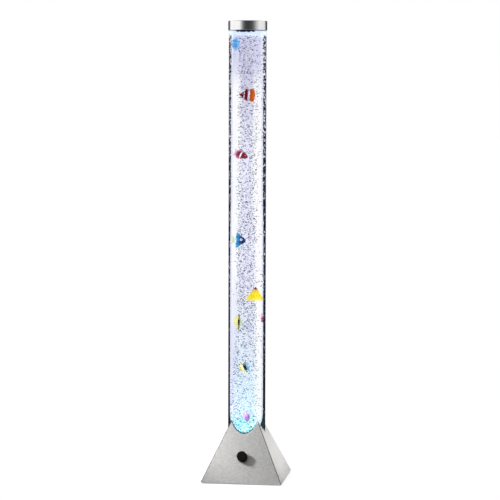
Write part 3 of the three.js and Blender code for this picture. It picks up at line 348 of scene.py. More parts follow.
class Wire:
    """A number, colour or shader that a node gives. Sums on a number add Math nodes."""

    def __init__(self, finish, socket):
        self.finish, self.socket = finish, socket

    def maths(self, operation, *others):
        return self.finish.wire("Math", dict(enumerate((self, *others))), operation=operation)

    def __add__(self, other):
        return self.maths("ADD", other)

    def __sub__(self, other):
        return self.maths("SUBTRACT", other)

    def __rsub__(self, other):
        return self.finish.wire("Math", {0: other, 1: self}, operation="SUBTRACT")

    def __mul__(self, other):
        return self.maths("MULTIPLY", other)

    def __truediv__(self, other):
        return self.maths("DIVIDE", other)

    def __abs__(self):
        return self.maths("ABSOLUTE")

    def larger(self, other):
        return self.maths("MAXIMUM", other)

    def ranged(self, low, high, to_low=0.0, to_high=1.0, kind="SMOOTHSTEP"):
        """The number carried from one range to another and held at its ends."""
        ends = {"From Min": low, "From Max": high, "To Min": to_low, "To Max": to_high}
        return self.finish.wire("MapRange", {"Value": self, **ends}, interpolation_type=kind)


class Finish:
    """The node tree of a material, or of a world, built one node at a time. A colour is a
    six-figure code, a grey from 0 to 1 or its linear red, green and blue."""

    def __init__(self, name, world=False):
        self.output = "OutputWorld" if world else "OutputMaterial"
        self.owner = (bpy.data.worlds if world else bpy.data.materials).new(name)
        self.owner.use_nodes = True
        self.tree = self.owner.node_tree
        self.tree.nodes.clear()

    def node(self, kind, inputs=None, **settings):
        """Adds a node, with its settings and with constants or wires as its inputs."""
        made = self.tree.nodes.new("ShaderNode" + kind)
        for key, value in settings.items():
            setattr(made, key, value)
        for key, value in (inputs or {}).items():
            socket = made.inputs[key]
            if isinstance(value, Wire):
                self.tree.links.new(value.socket, socket)
            else:
                socket.default_value = rgba(value) if socket.type == "RGBA" else value
        return made

    def wire(self, kind, inputs=None, output=0, **settings):
        """Adds a node and gives one of its outputs."""
        return Wire(self, self.node(kind, inputs, **settings).outputs[output])

    def done(self, shader):
        """Joins the shader to the output and gives the material or world."""
        self.node(self.output, {"Surface": shader})
        return self.owner

    def surface(self, base, shine, height=None, depth=0.0, strength=0.0, **more):
        """Joins a Principled shader to the output and gives the material: its colour, its
        roughness, a bump of a depth in metres, and other inputs by their names."""
        inputs = {"Base Color": base, "Roughness": shine}
        for key, value in more.items():
            inputs[key.replace("_", " ").title().replace("Ior", "IOR")] = value
        if height is not None:
            bump = {"Height": height, "Distance": depth, "Strength": strength}
            inputs["Normal"] = self.wire("Bump", bump)
        return self.done(self.wire("BsdfPrincipled", inputs))

    def blended(self, share, a, b):
        """Two shaders mixed by a share."""
        return self.wire("MixShader", {0: share, 1: a, 2: b})

    def ray(self, kind):
        """1 for a camera, shadow, diffuse, glossy or transmission ray, and else 0."""
        return self.wire("LightPath", output=f"Is {kind} Ray")

    def place(self, scale=(1, 1, 1)):
        """Object coordinates, scaled."""
        here = self.wire("TexCoord", output="Object")
        return self.wire("Mapping", {"Vector": here, "Scale": scale})

    @cached_property
    def here(self):
        """Object coordinates, in metres."""
        return self.place()

    def split(self, value, kind="XYZ"):
        """The three numbers of a vector or colour."""
        return [Wire(self, out) for out in self.node("Separate" + kind, {0: value}).outputs]

    def xyz(self):
        """The place's x, y and z."""
        return self.split(self.here)

    def joined(self, x, y, z):
        """Three numbers as a vector."""
        return self.wire("CombineXYZ", {0: x, 1: y, 2: z})

    def noise(self, scale, detail=3.0, rough=0.55, where=None):
        """A cloudy pattern from 0 to 1."""
        inputs = {"Scale": scale, "Detail": detail, "Roughness": rough}
        return self.wire("TexNoise", {"Vector": where or self.here, **inputs})

    def cells(self, scale, output="Distance", where=None, uneven=1.0):
        """A pattern of cells: the distance from their middles, or a colour for each."""
        inputs = {"Vector": where or self.here, "Scale": scale, "Randomness": uneven}
        return self.wire("TexVoronoi", inputs, output)

    def waves(self, scale, distortion, detail, where=None):
        """Level bands, a little bent."""
        inputs = {"Scale": scale, "Distortion": distortion, "Detail": detail}
        vector = {"Vector": where or self.here}
        return self.wire("TexWave", {**vector, **inputs}, "Fac", bands_direction="Z")

    def mixed(self, factor, a, b, blend="MIX"):
        """Two colours mixed by a factor."""
        settings = {"data_type": "RGBA", "blend_type": blend, "clamp_factor": True}
        return self.wire("Mix", {0: factor, 6: a, 7: b}, 2, **settings)

    def between(self, factor, a, b):
        """Two numbers mixed by a factor."""
        return self.wire("Mix", {0: factor, 2: a, 3: b}, data_type="FLOAT")

    def layered(self, tone, *layers):
        """A colour under layers of others, each given as its cover and its colour."""
        for cover, over in layers:
            tone = self.mixed(cover, tone, over)
        return tone

    def ramp(self, value, stops):
        """A run of colours, each at its own value from 0 to 1."""
        made = self.node("ValToRGB", {"Fac": value})
        scale = made.color_ramp
        while len(scale.elements) < len(stops):
            scale.elements.new(1.0)
        for element, (at, tone) in zip(scale.elements, stops):
            element.position = at
            element.color = rgba(tone)
        return Wire(self, made.outputs["Color"])


def rgba(tone):
    """A colour as four numbers, from a code, a grey, or three or four numbers."""
    if isinstance(tone, str):
        tone = linear(tone)
    elif isinstance(tone, (int, float)):
        tone = (tone,) * 3
    return tuple(tone)[:3] + (1.0,)


def shaded(tone, factor):
    """A colour made darker or lighter."""
    return tuple(min(1.0, x * factor) for x in rgba(tone)[:3])


def moulded(
    name, tone, roughness=0.45, grain=900.0, depth=0.00006, spread=0.12, coat=0.0, gloss=0.5
):
    """Moulded plastic or rubber: a faint cloudy colour, a fine even grain and worn gloss."""
    f = Finish(name)
    base = f.mixed(f.noise(45.0, 4.0), shaded(tone, 1 - spread), shaded(tone, 1 + spread))
    shine = f.noise(120.0).ranged(0.3, 0.7, roughness - 0.07, roughness + 0.09)
    more = {"coat_weight": coat, "specular_ior_level": gloss}
    return f.surface(base, shine, f.noise(grain, 2.0), depth, 0.6, **more)


def brushed(name, tone, roughness):
    """Brushed steel sheet: long thin level scratches on each of the four faces, in colour,
    gloss and height, under faint warm and cool clouds. The folds are matt and painted dark as shade."""
    f = Finish(name)
    x, y, z = f.xyz()
    side = abs(x).maths("GREATER_THAN", abs(y))
    along = f.between(side, x, y)
    lines = f.noise(1500.0, 4.0, 0.65, f.joined(along * 0.05, z, side))
    grain = f.noise(900.0, 3.0, 0.7, f.joined(along * 0.25, z, side))
    blot = f.noise(150.0, 3.0, 0.7, f.place((1, 1, 1.7)))
    # fold: a mask along the folds, which makes them matt and carries their painted shade
    fold = abs(abs(x) - abs(y)).ranged(0.0026, 0.0012)
    base = f.mixed(lines.ranged(0.3, 0.7), shaded(tone, 0.86), shaded(tone, 1.12))
    grained = f.mixed(grain.ranged(0.3, 0.7), 0.87, 1.0)
    # painted shade: the folds turn near black
    base = f.mixed(fold * 0.75, f.mixed(1.0, base, grained, "MULTIPLY"), 0.08)
    blots = f.mixed(blot.ranged(0.35, 0.65), (0.84, 0.84, 0.85), 0.97)
    clouds = f.mixed(f.noise(22.0), (0.975, 0.985, 1.0), (1.0, 0.99, 0.975))
    for pattern in (blots, clouds):
        base = f.mixed(1.0, base, pattern, "MULTIPLY")
    shine = lines.ranged(0.25, 0.75, roughness - 0.05, roughness + 0.08).larger(fold * 0.9)
    return f.surface(base, shine, lines, 0.00003, 0.4, metallic=0.92)


def plated(name, tone, roughness=0.3):
    """Zinc plate: small crystal patches of slightly different tone and gloss."""
    f = Finish(name)
    patch = f.split(f.cells(700.0, "Color"), "Color")[0]
    base = f.mixed(patch, shaded(tone, 0.86), shaded(tone, 1.08))
    shine = patch.ranged(0.0, 1.0, roughness - 0.08, roughness + 0.1, "LINEAR")
    return f.surface(base, shine, f.noise(400.0), 0.00003, 0.4, metallic=0.95)


def clear_body(f, tone, ior):
    """Glass with calm reflections: it bends light as glass does, and mirrors the Fresnel
    share raised to 1.4, so that a bright room puts little haze over what is inside. Lamps
    and soft light pass straight through it."""
    bent = f.wire("BsdfRefraction", {"Color": tone, "Roughness": 0.0, "IOR": ior})
    mirror = f.wire("BsdfAnisotropic", {"Color": 1.0, "Roughness": 0.0})
    share = f.wire("Fresnel", {"IOR": ior}).maths("POWER", 1.4)
    clear = f.wire("BsdfTransparent", {"Color": 1.0})
    aside = f.ray("Shadow").larger(f.ray("Diffuse"))
    return f.done(f.blended(aside, f.blended(share, bent, mirror), clear))


def acrylic(name, colours, radius):
    """Clear acrylic over lit water, tinted by how far the outer wall leans away: a tinted middle,
    a white band, then a near-black rim of painted shade that held bubbles break up, and a
    painted highlight at the outermost edge. The rim widens upwards and just over the base.
    By the shell's hole it carries a painted shadow line, a painted dark tip and a painted glint."""
    f = Finish(name)
    x, y, z = f.xyz()
    side = x / radius
    at = f.wire("LayerWeight", {"Blend": 0.5}, "Facing") + side * 0.04
    for widening in (
        (0.62, 0.78, 0.0, 0.055), (1.06, 1.14, 0.0, 0.03), (0.178, 0.125, 0.0, 0.24),
    ):
        at = at + z.ranged(*widening)
    lamp_height = 1.2
    # The water's tint; its blue-green just over the base is painted light from the lamps below.
    middle = f.ramp(
        z / lamp_height,
        [
            (0.0, colours.water_glow), (0.12, colours.water_glow), (0.155, colours.water_low),
            (0.42, colours.water_middle), (0.76, colours.water_middle), (0.9, colours.water_high),
        ],
    )
    cool = side.ranged(0.2, -0.3) * z.ranged(0.62, 0.3) * 0.85
    high = z.ranged(1.02, 1.12)
    band = f.layered(1.0, (cool, (0.7, 0.76, 0.9)), (high, (0.7, 0.7, 0.86)))
    apart = f.between(z.ranged(0.25, 0.45), at.ranged(0.0, 0.3), at.ranged(0.085, 0.15))
    spots = f.noise(140.0, 3.0, 0.65, f.place((1, 1, 1.3)))
    held = z.ranged(0.2, 0.6, 0.66, 0.6) - z.ranged(0.6, 1.1, 0.0, 0.062)
    spots = (spots - held).ranged(0.0, 0.014) * 0.95
    # painted shade: the rim's near-black, darker low down
    dark = f.mixed(z.ranged(0.2, 0.6), (0.008, 0.009, 0.012), colours.rim_shade)
    # painted highlight: a pale outermost edge, high up at the right
    edge = at.ranged(0.86, 0.93) * z.ranged(0.9, 1.0, 0.0, 0.8) * side.ranged(0.0, 0.5)
    foamed = z.ranged(1.174, 1.183) * at.ranged(0.5, 0.55, 0.0, 0.9)
    clear = z * FACE_LEAN + abs(x).larger(abs(y)) - SHELL_SUM * MM  # above the shell's faces
    # painted shadow: a thin dark line along the shell's hole
    line = clear.ranged(0.0016, 0.0008) * side.ranged(0.8, 0.6, 0.0, 0.85)
    # painted shade: the rim kept dark at its lower right tip, over the shell
    tip = side.ranged(0.8, 0.86) * z.ranged(0.16, 0.15)
    # painted glint: a warm pale touch just over the shell's right face
    glint = clear.ranged(0.0024, 0.0016) * side.ranged(0.8, 0.92) * 0.6
    tone = f.layered(
        middle,
        (apart, band),
        # painted shade: a grey-blue step into the rim
        (at.ranged(0.36, 0.46), (0.78, 0.79, 0.93)),
        (at.ranged(0.515, 0.54), f.mixed(spots, dark, (0.95, 0.96, 1.0))),
        (edge, colours.rim_highlight),
        (foamed, (0.92, 0.96, 1.0)),
        (line, (0.02, 0.05, 0.08)),
        (tip, (0.02, 0.03, 0.04)),
        (glint, (0.85, 0.55, 0.5)),
    )
    outer = (x * x + y * y).maths("SQRT").ranged(radius * 0.965, radius * 0.975, kind="LINEAR")
    outer = outer * (1.0 - f.wire("NewGeometry", output="Backfacing"))
    return clear_body(f, f.mixed(outer, 1.0, tone), 1.49)


def lit_water(name):
    """Clear water with faint cloudy streaks of the bubbles' haze, calm at the right."""
    f = Finish(name)
    x, _, z = f.xyz()
    streak = f.noise(55.0, 4.0, 0.6, f.place((1, 1, 0.35)))
    calm = x.ranged(0.01, 0.03) * z.ranged(1.05, 0.9)
    tone = f.layered(
        (0.93, 0.99, 1.0),
        (z.ranged(0.12, 0.35), (0.95, 0.955, 0.99)),
        (calm, (1.0, 0.998, 0.995)),
        (streak.ranged(0.35, 0.7), 1.0),
    )
    return clear_body(f, tone, 1.33)


def bubble_skin(name, colours):
    """Bubbles: each has its own tone, from navy shade to bright. They turn bluer downwards,
    and blue-green with a glow near the lamps: painted light from them."""
    f = Finish(name)
    tone = f.wire("Attribute", output="Fac", attribute_name="tone")
    z = f.xyz()[2]
    shade, light = (0.36, 0.39, 0.55), (0.72, 0.74, 0.88)
    low, middle, high = (
        f.ramp(tone, stops)
        for stops in (
            [(0.0, "0e5a6a"), (0.4, "3a9aaa"), (0.75, "96eef0"), (1.0, "eaffff")],
            [(0.0, "54649c"), (0.4, "a0b4dc"), (0.75, "dce6f8"), (1.0, "fafcff")],
            [(0.0, colours.bubble_dark), (0.35, shade), (0.6, light), (1.0, colours.bubble_pale)],
        )
    )
    base = f.mixed(z.ranged(0.15, 0.185), low, f.mixed(z.ranged(0.22, 0.42), middle, high))
    # painted light: the bubbles glow just over the lamps
    glow = z.ranged(0.22, 0.13, 0.0, 0.45)
    return f.surface(base, 0.15, emission_color=base, emission_strength=glow)


# Each kind's body (depth as a share of the height, peak, bluntness), then the outlines of
# its tail and fin in shares of a fish's length (forwards) and of its full height (up)
FISH_KINDS = {
    "oval": (
        (0.66, 0.8, 0.62),
        [(-0.18, 0.08), (-0.4, 0.27), (-0.5, 0.22), (-0.46, 0)],
        [(0.24, 0.2), (0.12, 0.4), (-0.06, 0.5), (-0.26, 0.38), (-0.18, 0.08)],
    ),
    "wedge": (
        (0.74, 1.5, 0.85),
        [(-0.12, 0.26), (-0.24, 0.43), (-0.4, 0.4), (-0.5, 0)],
        [(0.14, 0.22), (0.06, 0.38), (-0.06, 0.42), (-0.12, 0.36), (-0.06, 0.2)],
    ),
    "dart": (
        (0.72, 0.95, 0.9),
        [(-0.16, 0.1), (-0.38, 0.4), (-0.5, 0.36), (-0.42, 0)],
        [(0.2, 0.2), (0.06, 0.46), (-0.12, 0.5), (-0.24, 0.36), (-0.16, 0.12)],
    ),
    "disc": (
        (0.7, 0.85, 0.75),
        [(-0.18, 0.08), (-0.36, 0.2), (-0.5, 0.26), (-0.44, 0)],
        [(0.2, 0.24), (0.06, 0.44), (-0.16, 0.5), (-0.3, 0.44), (-0.18, 0.1)],
    ),
    "arrow": (
        (0.56, 0.8, 0.8),
        [(-0.18, 0.08), (-0.36, 0.2), (-0.5, 0.26), (-0.44, 0)],
        [(0.34, 0.08), (0.12, 0.34), (-0.1, 0.5), (-0.16, 0.34), (-0.14, 0.08)],
    ),
    "kite": (
        (0.44, 1.0, 0.85),
        [(-0.16, 0.1), (-0.4, 0.2), (-0.5, 0.14), (-0.46, 0)],
        [(0.3, 0.08), (0.02, 0.28), (-0.32, 0.5), (-0.46, 0.42), (-0.4, 0.16), (-0.14, 0.06)],
    ),
    "plume": (
        (0.8, 0.85, 0.7),
        [(-0.16, 0.1), (-0.46, 0.14), (-0.38, 0.05), (-0.5, 0)],
        [(0.12, 0.3), (-0.1, 0.48), (-0.4, 0.5), (-0.2, 0.28), (-0.16, 0.14)],
    ),
}

# Name, kind, place, [length, height, thickness], heading and nose-up pitch in degrees, and
# the paint: stops from the tail (0) to the nose (1), lean and bend of the bands, speckle
# colour and strength, back, belly, the fins' root and edge, how far these cover the bands,
# and the eye's place along the length and the radius of its pale ring.
FISH = [
    ("fish_sky_blue", "oval", (-25.1, -19.0, 1157.2), (26.0, 37.0, 10.0), 148, 6,
     [(0.0, "c0e6f6"), (0.2, "90d2f0"), (0.45, "64b8e8"), (0.7, "6cc0ea"), (0.92, "98d8f2")],
     0.0, 0.3, "0c4484", 1.0, "58a8dc", "b0e4f6", "6cc0ea", "b8e6f6", 0.8, 0.8, 1.3),
    ("fish_orange_band", "wedge", (1.9, -20.0, 1022.9), (37.0, 39.0, 12.0), 180, 3,
     [(0.0, "c8500e"), (0.12, "dc6c14"), (0.3, "c4540e"), (0.325, "ffffff"), (0.42, "ffffff"),
      (0.45, "50103c"), (0.55, "5c1032"), (0.64, "8c0c1c"), (0.655, "ffffff"),
      (0.685, "ffffff"), (0.7, "780610"), (1.0, "5c0408")],
     0.0, -0.35, "8a1c06", 0.6, "5c1008", "983414", "cc5010", "9c2c08", 0.5, 0.8, 1.0),
    ("fish_dark_red", "dart", (-12.7, -20.0, 866.0), (37.0, 25.0, 9.0), 4, -24,
     [(0.0, "fbe4ea"), (0.16, "e8b4cc"), (0.24, "a84878"), (0.32, "6c0c38"), (0.46, "700828"),
      (0.475, "ffffff"), (0.545, "ffffff"), (0.56, "8a0614"), (1.0, "76040e")],
     0.0, -0.3, "38040e", 0.0, "600614", "800c1c", "a02050", "e8a8c4", 0.7, 0.8, 1.1),
    ("fish_deep_blue", "arrow", (-17.5, -19.0, 638.9), (34.0, 41.0, 10.0), 4, -4,
     [(0.0, "e4eeb4"), (0.2, "c4e4b8"), (0.27, "f6fbfa"), (0.34, "e8f4fa"), (0.38, "54a8d8"),
      (0.52, "1470b8"), (0.7, "063c7c"), (0.84, "021840"), (1.0, "085090")],
     0.1, 0.25, "021c4a", 0.9, "08508c", "34b0d0", "2084c0", "50c4d4", 0.5, 0.69, 3.2),
    ("fish_yellow", "kite", (21.0, -14.0, 496.0), (37.0, 42.0, 10.0), 8, 90,
     [(0.0, "f6f2a0"), (0.14, "fbf050"), (0.3, "fbe618"), (0.6, "fae010"), (0.78, "f4b808"),
      (0.84, "c87808"), (0.87, "2c1404"), (1.0, "2c1402")],
     0.0, 0.0, "e09c04", 0.5, "f8c00a", "f0ee20", "fce018", "f2ee70", 0.5, 0.8, 1.3),
    ("fish_magenta", "plume", (37.0, -9.0, 431.0), (24.0, 20.0, 8.0), 90, -62,
     [(0.0, "fbe2e8"), (0.3, "f2b4c6"), (0.45, "a80c44"), (0.75, "840834"), (1.0, "b02050")],
     0.0, 0.2, "4e0424", 0.3, "80083a", "d85080", "b01c50", "f8d4de", 0.8, 0.8, 1.1),
    ("fish_lemon_bar", "oval", (-17.8, -19.0, 422.1), (30.0, 43.0, 9.0), 124, 4,
     [(0.0, "d4e4b4"), (0.17, "b8d48c"), (0.21, "000000"), (0.37, "000000"), (0.4, "fcf6c8"),
      (0.5, "fffa98"), (0.85, "fff684"), (1.0, "fcec6c")],
     0.0, -0.5, "a89c30", 0.45, "fcf080", "fffab8", "fcf490", "fffac8", 0.12, 0.8, 1.2),
    ("fish_banner", "disc", (-2.4, -22.0, 300.0), (28.0, 31.0, 8.0), 172, 8,
     [(0.0, "bcdcf4"), (0.14, "5aa4e4"), (0.24, "4a98dc"), (0.27, "a8d0f0"), (0.29, "000004"),
      (0.54, "000004"), (0.57, "fffef8"), (0.65, "fbf6d0"), (0.72, "f4e268"), (1.0, "ecd85c")],
     -0.62, 0.4, "3c300a", 0.85, "d0b440", "faf2bc", "d8d090", "bcdcf4", 0.3, 0.8, 1.3),
    ("fish_violet", "plume", (1.6, -16.0, 170.0), (28.0, 20.0, 9.0), 10, -80,
     [(0.0, "f0d4f0"), (0.3, "e0b0e2"), (0.6, "c07cc8"), (0.85, "b872c2"), (1.0, "d090d4")],
     0.0, 0.2, "7c3c9c", 0.7, "a466ba", "e0b4e0", "c890d2", "f0d8f2", 0.9, 0.8, 1.2),
]

BODY_SHARE = 0.74  # of a fish's length, from its nose to where the tail starts
TAIL_ROOT = 0.24  # the body's height there, as a share of its greatest


def fish_body(shape, size):
    """The body: at share s back from the nose, the height's half is
    d/2 ((1-k) sin(pi s^peak)^blunt + k s), flattened sideways to the fish's thickness."""
    deep_share, peak, blunt = shape
    long, high, thick = size
    depth = deep_share * high
    s = (1 - np.cos(np.linspace(0, np.pi, 30))) / 2
    full = np.sin(np.pi * np.clip(s, 0, 1) ** peak).clip(0) ** blunt
    radius = depth / 2 * ((1 - TAIL_ROOT) * full + TAIL_ROOT * s)
    x = long / 2 - long * BODY_SHARE * s
    radius, x = np.append(radius, 0.0)[:, None], np.append(x, x[-1] - 0.01 * long)[:, None]
    radius[0] = 0.0
    q = angles(28)
    lens = np.sign(np.cos(q)) * np.abs(np.cos(q)) ** 1.15
    return np.stack([x + 0 * q, radius * lens * thick / depth, radius * np.sin(q)], -1)


def fin_blade(outline, size, thickness, ridges):
    """A fin: its smooth outline drawn in towards its middle, both faces swelling as
    T/2 sqrt(1 - p^2) at share p from the middle to the edge, with ridges fanned from the
    root."""
    flat = np.array(outline, float) * size[:2]
    loop = np.concatenate([flat[-1:], flat, flat[:2]])
    edge = smooth_path(np.pad(loop, ((0, 0), (0, 1))), 8)[8 : -9, :2]
    middle = flat.mean(0)
    p = np.sin(np.linspace(0, np.pi / 2, 7))
    fan = 1 + 0.22 * np.cos(ridges * angles(len(edge)))
    side = thickness / 2 * np.minimum(np.sqrt(np.clip(1 - p**2, 0, 1))[:, None] * fan, 1.0)
    ring = middle + p[:, None, None] * (edge - middle)
    top, low = (np.stack([ring[..., 0], sign * side, ring[..., 1]], -1) for sign in (1, -1))
    return np.concatenate([top, low[-2::-1]])


def fish_field(grid, size, part):
    """For the paint: place along the length (0 tail, 1 nose), across, up, and the part: 0 for
    the body, 0.5 for the tail and 1 for the fins."""
    x, y, z = grid.reshape(-1, 3).T / np.array(size)[[0, 2, 1], None]
    return np.stack([x + 0.5, y, z + 0.5, np.full(len(x), part)], -1)


def fish_paint(name, size, paint):
    """A painted toy fish: colour bands across the body that bend round its sides, a shaded
    back, a pale belly, speckles, ribbed fins and an eye, a dark pupil in a pale ring."""
    stops, lean, bend, speckle, speckled, back, belly, fin_root, fin_edge, own, eye_at, eye = paint
    f = Finish(name)
    place, part = (
        f.wire("Attribute", output=output, attribute_name="place") for output in ("Color", "Alpha")
    )
    along, _, high = f.split(place, "Color")
    blade, fin = part.ranged(0.1, 0.4, kind="LINEAR"), part.ranged(0.6, 0.9, kind="LINEAR")
    body = 1.0 - blade
    up = high - 0.5
    at = up * lean + along + (f.noise(11.0, where=place) * 0.07 - 0.035) + up * up * bend
    spots = f.cells(5.2, where=place, uneven=0.9)
    rib = f.waves(5.5, 1.6, 2.0, place)
    fins = f.mixed(abs(up).ranged(0.15, 0.48), fin_root, fin_edge)
    du, dw = (along - eye_at) * size[0], (high - 0.56) * size[1]
    off = (du * du + dw * dw).maths("SQRT")
    tone = f.layered(
        f.ramp(at, stops),
        (up.ranged(0.1, 0.36, 0.0, 0.7) * body, back),
        (up.ranged(-0.12, -0.36, 0.0, 0.5) * body, belly),
        (spots.ranged(0.36, 0.26, 0.0, speckled), speckle),
        (fin * own, fins),
        (rib.ranged(0.3, 0.8, 0.0, 0.3) * blade, shaded(fin_root, 0.7)),
        (off.ranged(eye, 0.85 * eye, 0.0, 0.95) * body, (0.97, 0.97, 0.93)),
        (off.ranged(0.45 * eye, 0.35 * eye) * body, (0.01, 0.01, 0.012)),
    )
    shine = rib.ranged(0.0, 1.0, 0.4, 0.52, "LINEAR")
    # painted light: the fish glow faintly in their own colours
    more = {"specular_ior_level": 0.06, "emission_color": tone, "emission_strength": 0.22}
    return f.surface(tone, shine, rib, 0.0002, 0.3, **more)


class LampOperator:
    """What every builder of a piece shares."""

    bl_options = {"REGISTER", "UNDO"}

    @property
    def sizes(self):
        return bpy.context.scene.lamp_sizes

    @property
    def colours(self):
        return bpy.context.scene.lamp_colours


class LAMP_OT_stage(LampOperator, bpy.types.Operator):
    """Floor, soft light from all round with two spots on the base, and the camera"""

    bl_idname = "lamp.stage"
    bl_label = "Stage"

    def execute(self, context):
        self.floor()
        self.world()
        self.spots()
        self.camera()
        return {"FINISHED"}

    def floor(self):
        """A wide round floor: radius 60 m at angle q, (r cos q, r sin q, 0). It glows a little for
        the camera so that it stays white but for its shadow; under the base it glows less, a painted shadow."""
        f = Finish("stage_floor")
        x, y, _ = f.xyz()
        # painted shadow: the glow drops under the base's footprint
        glow = abs(x).larger(abs(y)).ranged(0.1035, 0.1075, 0.35, 0.74)
        glow = f.wire("Emission", {"Color": 1.0, "Strength": glow})
        bright = f.wire("AddShader", {0: f.wire("BsdfDiffuse", {"Color": 0.3}), 1: glow})
        plain = f.wire("BsdfDiffuse", {"Color": self.colours.floor})
        seen = f.ray("Camera").larger(f.ray("Transmission"))
        sides = 96
        points = turned([[0, -0.3], [60000, -0.3]], sides).reshape(-1, 3) * MM
        mesh = bpy.data.meshes.new("stage_floor")
        mesh.from_pydata(points.tolist(), [], quads(2, sides)[:, ::-1].tolist())
        mesh.materials.append(f.done(f.blended(seen, plain, bright)))
        plane = linked("stage_floor", mesh)
        plane.visible_glossy = False

    def world(self):
        """White to the camera; an even soft white for matt surfaces; through glass white but
        for a dark opening behind the camera, which keeps haze off what is inside; and for gloss
        a white studio with that opening and dark curtains towards the back."""
        f = Finish("stage_light", world=True)
        way = f.wire("TexCoord", output="Generated")
        turn = {"Vector": way, "Rotation": (0, 0, math.radians(-8.17))}
        x, y, z = f.split(f.wire("Mapping", turn))
        azimuth = x.maths("ARCTAN2", y * -1.0)
        off = abs(azimuth) / math.pi  # 0 behind the camera, 1 behind the lamp
        opening, curtain = (0.03, 0.03, 0.035), (0.05, 0.05, 0.055)
        left = f.ramp(
            off,
            [
                (0.0, opening), (0.09, curtain), (0.15, (0.15, 0.15, 0.155)), (0.2, 0.43),
                (0.27, 1.0), (0.67, 1.0), (0.73, (0.2, 0.2, 0.21)), (0.77, curtain),
                (0.92, curtain), (0.95, 1.0),
            ],
        )
        right = f.ramp(
            off,
            [
                (0.0, opening), (0.09, (0.04, 0.04, 0.045)), (0.16, (0.08, 0.08, 0.085)),
                (0.22, (0.21, 0.21, 0.215)), (0.3, (0.54, 0.54, 0.55)),
                (0.41, (0.88, 0.88, 0.9)), (0.66, 0.8), (0.74, curtain), (0.92, curtain),
                (0.95, 1.0),
            ],
        )
        above = f.mixed(off.ranged(0.35, 0.7), (0.24, 0.24, 0.245), 0.97)
        gloss = f.layered(
            left,
            (azimuth.maths("GREATER_THAN", 0.0), right),
            (z.ranged(0.3, 0.5), above),
            (z.ranged(-0.35, -0.6), 0.8),
        )
        plain, matt, shiny, behind = (
            f.wire("Background", {"Color": tone, "Strength": strength})
            for tone, strength in (
                (1.0, 1.0), ((0.98, 0.99, 1.0), 1.0), (gloss, 1.04),
                (1.0, off.ranged(0.15, 0.4, 0.04, 1.05)),
            )
        )
        light = f.blended(f.ray("Glossy"), matt, shiny)
        light = f.blended(f.ray("Transmission"), light, behind)
        bpy.context.scene.world = f.done(f.blended(f.ray("Camera"), light, plain))

    def spots(self):
        """Two spots on the base. The first, at its upper left, shades the front face from its
        upper left to its lower right and gives the knob its soft shadow. The second, behind at
        the right, brightens the right face at a low angle."""
        for name, place, aim, watts, size in (
            ("key_lamp", (-0.53, -0.33, 0.47), (0.05, -0.058, 0.09), 34.5, 0.08),
            ("side_lamp", (0.3, 0.46, 0.15), (0.09, 0.0, 0.025), 1.9, 0.12),
        ):
            lamp = bpy.data.lights.new(name, "SPOT")
            lamp.spot_size, lamp.spot_blend = math.radians(30.0), 0.35
            lamp.shadow_soft_size, lamp.energy = size, watts
            holder = linked(name, lamp)
            holder.location = place
            holder.visible_camera = holder.visible_transmission = False
            holder.rotation_mode = "QUATERNION"
            way = Vector(aim) - holder.location
            holder.rotation_quaternion = way.to_track_quat("-Z", "Y")

    def camera(self):
        """The photograph's view, from about 5 m away."""
        lens = bpy.data.cameras.new("view_camera")
        lens.sensor_width, lens.lens = 36.0, 138.18
        lens.clip_start, lens.clip_end = 0.1, 200.0
        holder = linked("view_camera", lens)
        place = (0.724, -5.046, 0.977)
        turn, tip, roll = (math.radians(angle) for angle in (8.08, 4.10, 0.16))
        level = math.cos(tip)
        aim = Vector((-math.sin(turn) * level, math.cos(turn) * level, -math.sin(tip)))
        straight = aim.to_track_quat("-Z", "Y").to_matrix().to_4x4()
        view = Matrix.Translation(place) @ straight @ Matrix.Rotation(roll, 4, "Z")
        holder.rotation_mode = "QUATERNION"
        holder.location = view.to_translation()
        holder.rotation_quaternion = view.to_quaternion()
        bpy.context.scene.camera = holder


